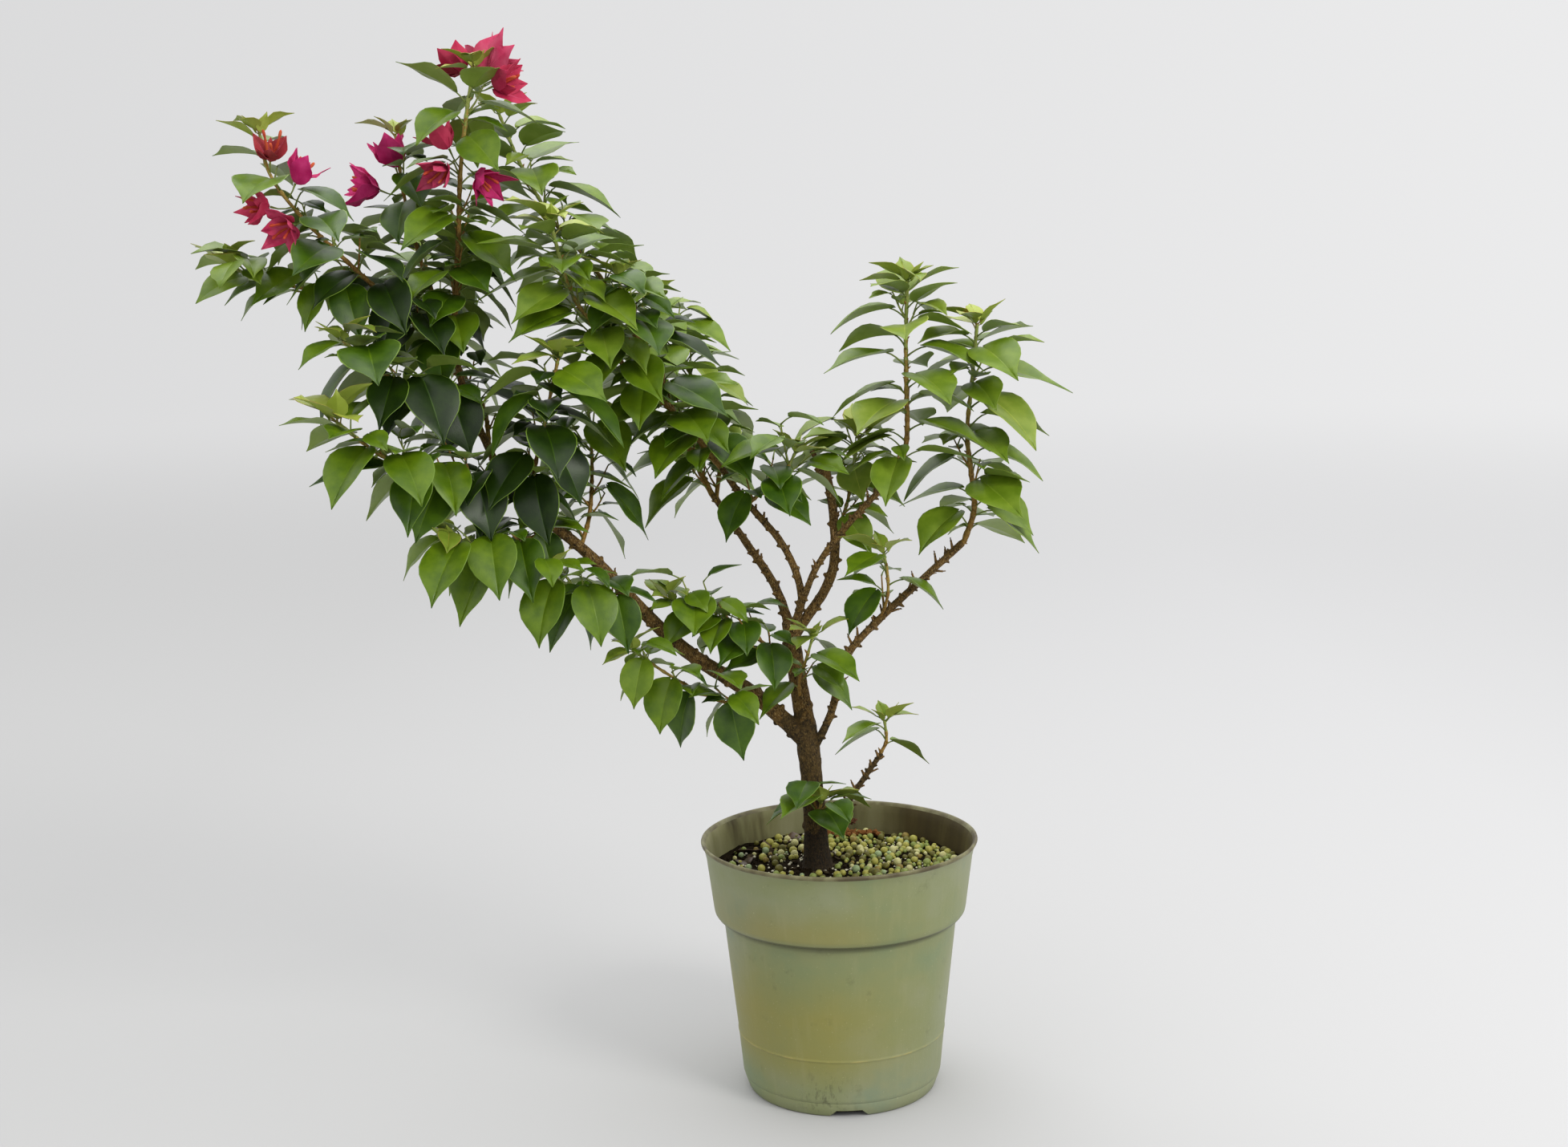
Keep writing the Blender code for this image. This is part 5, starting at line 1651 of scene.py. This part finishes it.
def rough_lump(points, x, y, size, stands, kind, chance):
    """A ball pushed out of shape and turned; chips are flat."""
    flat = (1.3, 0.8, 0.3) if kind == "chip" else (1.0, 0.85, 0.75)
    shape = points * flat * np.array([[chance.uniform(0.75, 1.2)] for _ in points]) * size * MM
    spin, tilt = chance.uniform(0, ANY_TURN), chance.uniform(-0.5, 0.5)
    turn = Matrix.Rotation(spin, 3, "Z") @ Matrix.Rotation(tilt, 3, "X")
    centre = np.array((x, y, soil_height(x, y) + stands * size * 0.5)) * MM
    return shape @ np.array(turn).T + centre


def draw_litter(drawing, chance):
    """Dead leaves that lie on the soil at the back left."""
    for x, y, heading, length in LITTER:
        turn = math.radians(heading)
        ahead = Vector((math.cos(turn), math.sin(turn), 0.18)).normalized()
        normal = (UP + Vector((chance.uniform(-0.4, 0.4), chance.uniform(-0.4, 0.4), 0))).normalized()
        base = point((x, y, soil_height(x, y) + 2.2)) - ahead * length * MM / 2
        leaf = Blade(base, base, ahead, square_to(normal, ahead), length * MM, 0.6, *LITTER_BEND)
        draw_blade(drawing, leaf, SMALL_BLADE, ("leaf_dry",) * 4, chance, relief=0.4, wave=2.4)


# ---------------------------------------------------------------- floor, light and camera

def set_camera():
    """The camera that was fitted to the pot's rim, band and foot in the photo."""
    data = bpy.data.cameras.new("camera")
    data.sensor_fit, data.sensor_width, data.lens = "HORIZONTAL", 36.0, CAMERA_LENS
    camera = link("camera", data)
    camera.location = CAMERA_PLACE
    look = Matrix.Rotation(math.radians(90 - CAMERA_PITCH), 4, "X")
    camera.rotation_euler = (look @ Matrix.Rotation(math.radians(CAMERA_ROLL), 4, "Z")).to_euler()
    bpy.context.scene.camera = camera


def haze(nodes, sideways):
    """The haze in the direction that has this sideways part."""
    return nodes.mix(nodes.spread(sideways, -HAZE_REACH, HAZE_REACH), *HAZE)


def set_world():
    """A pale room: hazy at the horizon and bright overhead."""
    world = bpy.data.worlds.new("studio")
    world.use_nodes = True
    bpy.context.scene.world = world
    nodes = Nodes(world.node_tree)
    sideways, _, rise = nodes.axes(nodes.node("ShaderNodeTexCoord").outputs["Generated"])
    room = nodes.mix(nodes.spread(rise, 0.13, 0.85), haze(nodes, sideways), ZENITH)
    nodes.feed(world.node_tree.nodes["Background"].inputs["Color"], room)


def set_floor():
    """A wide pale floor that fades into the haze far from the pot, painted darker left of the pot and paler
    right of it as shade and light.
    """
    mesh = bpy.data.meshes.new("floor")
    corners = [(x * FLOOR_REACH, y * FLOOR_REACH, 0) for x, y in ((-1, -1), (1, -1), (1, 1), (-1, 1))]
    mesh.from_pydata(corners, [], [(0, 1, 2, 3)])
    floor = link("floor", mesh)
    paint = Paint("floor", 0.85, 0.0)
    from_camera = paint.node("ShaderNodeVectorMath", {0: paint.place, 1: CAMERA_PLACE}, operation="SUBTRACT")
    heading = paint.node("ShaderNodeVectorMath", {0: from_camera.outputs["Vector"]}, operation="NORMALIZE")
    sideways = paint.axes(heading.outputs["Vector"])[0]
    away = paint.node("ShaderNodeVectorMath", {0: paint.place}, operation="LENGTH").outputs["Value"]
    far = paint.spread(away, *FLOOR_FADE, "SMOOTHSTEP")
    # painted shade and light: darker left of the pot, paler right of it
    near = paint.mix(paint.spread(paint.axes(paint.place)[0], -0.6, 0.6), *FLOOR_SHADE_TINTS)
    paint.colour(paint.mix(far, near, BLACK))
    paint.feed(paint.shader["Emission Color"], paint.mix(far, BLACK, haze(paint, sideways)))
    paint.feed(paint.shader["Emission Strength"], 1.0)
    mesh.materials.append(paint.material)


def set_light(name, place, target, size, power, colour):
    """A round soft light at a place, turned to its target."""
    data = bpy.data.lights.new(name, "AREA")
    data.shape, data.size, data.energy, data.color = "DISK", size, power, colour
    light = link(name, data)
    light.location = place
    light.rotation_euler = (Vector(target) - Vector(place)).to_track_quat("-Z", "Y").to_euler()


def set_stage():
    """The camera, the pale room with its floor, and two soft lights."""
    bpy.context.scene.view_settings.view_transform = "Standard"
    set_camera()
    set_world()
    set_floor()
    set_light("key", (1.3, -1.4, 1.6), (-0.05, 0, 0.35), 0.8, 23.0, (1.0, 0.985, 0.95))
    set_light("top", (-0.4, 0.9, 2.2), (-0.1, 0, 0.35), 1.4, 12.0, (0.98, 0.99, 1.0))


# ---------------------------------------------------------------- the bush

def grow_bush(nodes):
    """The stems, leaves, side twigs and blooms, grown by the rule that made the solids."""
    solids = Solids()
    for name in ("pot", "soil"):
        mesh = nodes[name].data
        corners = [v.co.copy() for v in mesh.vertices]
        solids.add(corners, [tuple(face.vertices) for face in mesh.polygons], name)
    for name, (first, last, points) in LIMBS.items():
        def radii_of(path):
            return limb_radii(name, path, first, last)
        _, vertices, faces = clear_tube(solids, points, radii_of, LIMB_STEP, LIMB_SIDES)
        solids.add(vertices, faces, name)
    stems = build_stems(solids)
    blooms = {name: make_blooms(name, stem[0], solids) for name, stem in stems.items()}
    leaves = {name: grow_leaves(name, stems, solids) for name in stems}
    grown = {name: (leaves[name], grow_twigs(name, stems, leaves[name], solids)) for name in stems}
    return blooms, grown


def dress_foliage(blooms, grown, paints):
    """Leaves, small leaves, stalks, stems and blooms, each kind joined apart."""
    full, small, stalks, petals = (Drawing(n) for n in ("leaves", "small_leaves", "leaf_stalks", "blooms"))
    chance = random.Random(17)
    for name, (leaves, twigs) in grown.items():
        draw_leaves(name, leaves, full, stalks, BLADE, chance)
        for _, side_leaves, _ in twigs:
            draw_leaves(name, side_leaves, small, stalks, SMALL_BLADE, chance)
        for bloom, (*_, tint) in zip(blooms[name], BLOOMS.get(name, ())):
            size = DRAWN_BLOOM[name] * (YOUNG_BLOOM if tint == "bract_red" else 1.0)
            draw_bloom(bloom, tint, size, petals, chance)
    draw_litter(small, chance)
    stems = draw_stems(grown, paints)
    for piece in (full.make(paints), small.make(paints), stalks.make(paints), stems):
        settle(piece, "foliage", *SHOOTS)
    settle(petals.make(paints), "foliage", *BLOOMS)


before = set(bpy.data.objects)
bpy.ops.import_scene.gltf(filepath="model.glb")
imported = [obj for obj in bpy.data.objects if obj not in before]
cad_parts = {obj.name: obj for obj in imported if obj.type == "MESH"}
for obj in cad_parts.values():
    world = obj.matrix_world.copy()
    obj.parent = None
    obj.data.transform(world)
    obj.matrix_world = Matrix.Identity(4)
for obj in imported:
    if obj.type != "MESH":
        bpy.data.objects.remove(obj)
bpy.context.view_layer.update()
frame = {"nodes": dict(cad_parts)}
paints = make_materials()
set_stage()
blooms, grown = grow_bush(frame["nodes"])
dress_foliage(blooms, grown, paints)
skeletons = limb_skeletons()
settle(make_bark(paints, skeletons), "bark", *LIMBS)
settle(draw_spurs(paints, skeletons), "bark")
settle(make_pot(paints), "pot", "pot")
settle(make_soil(paints), "soil", "soil")
settle(make_beads(paints), "soil")
settle(make_crumbs(paints), "soil")
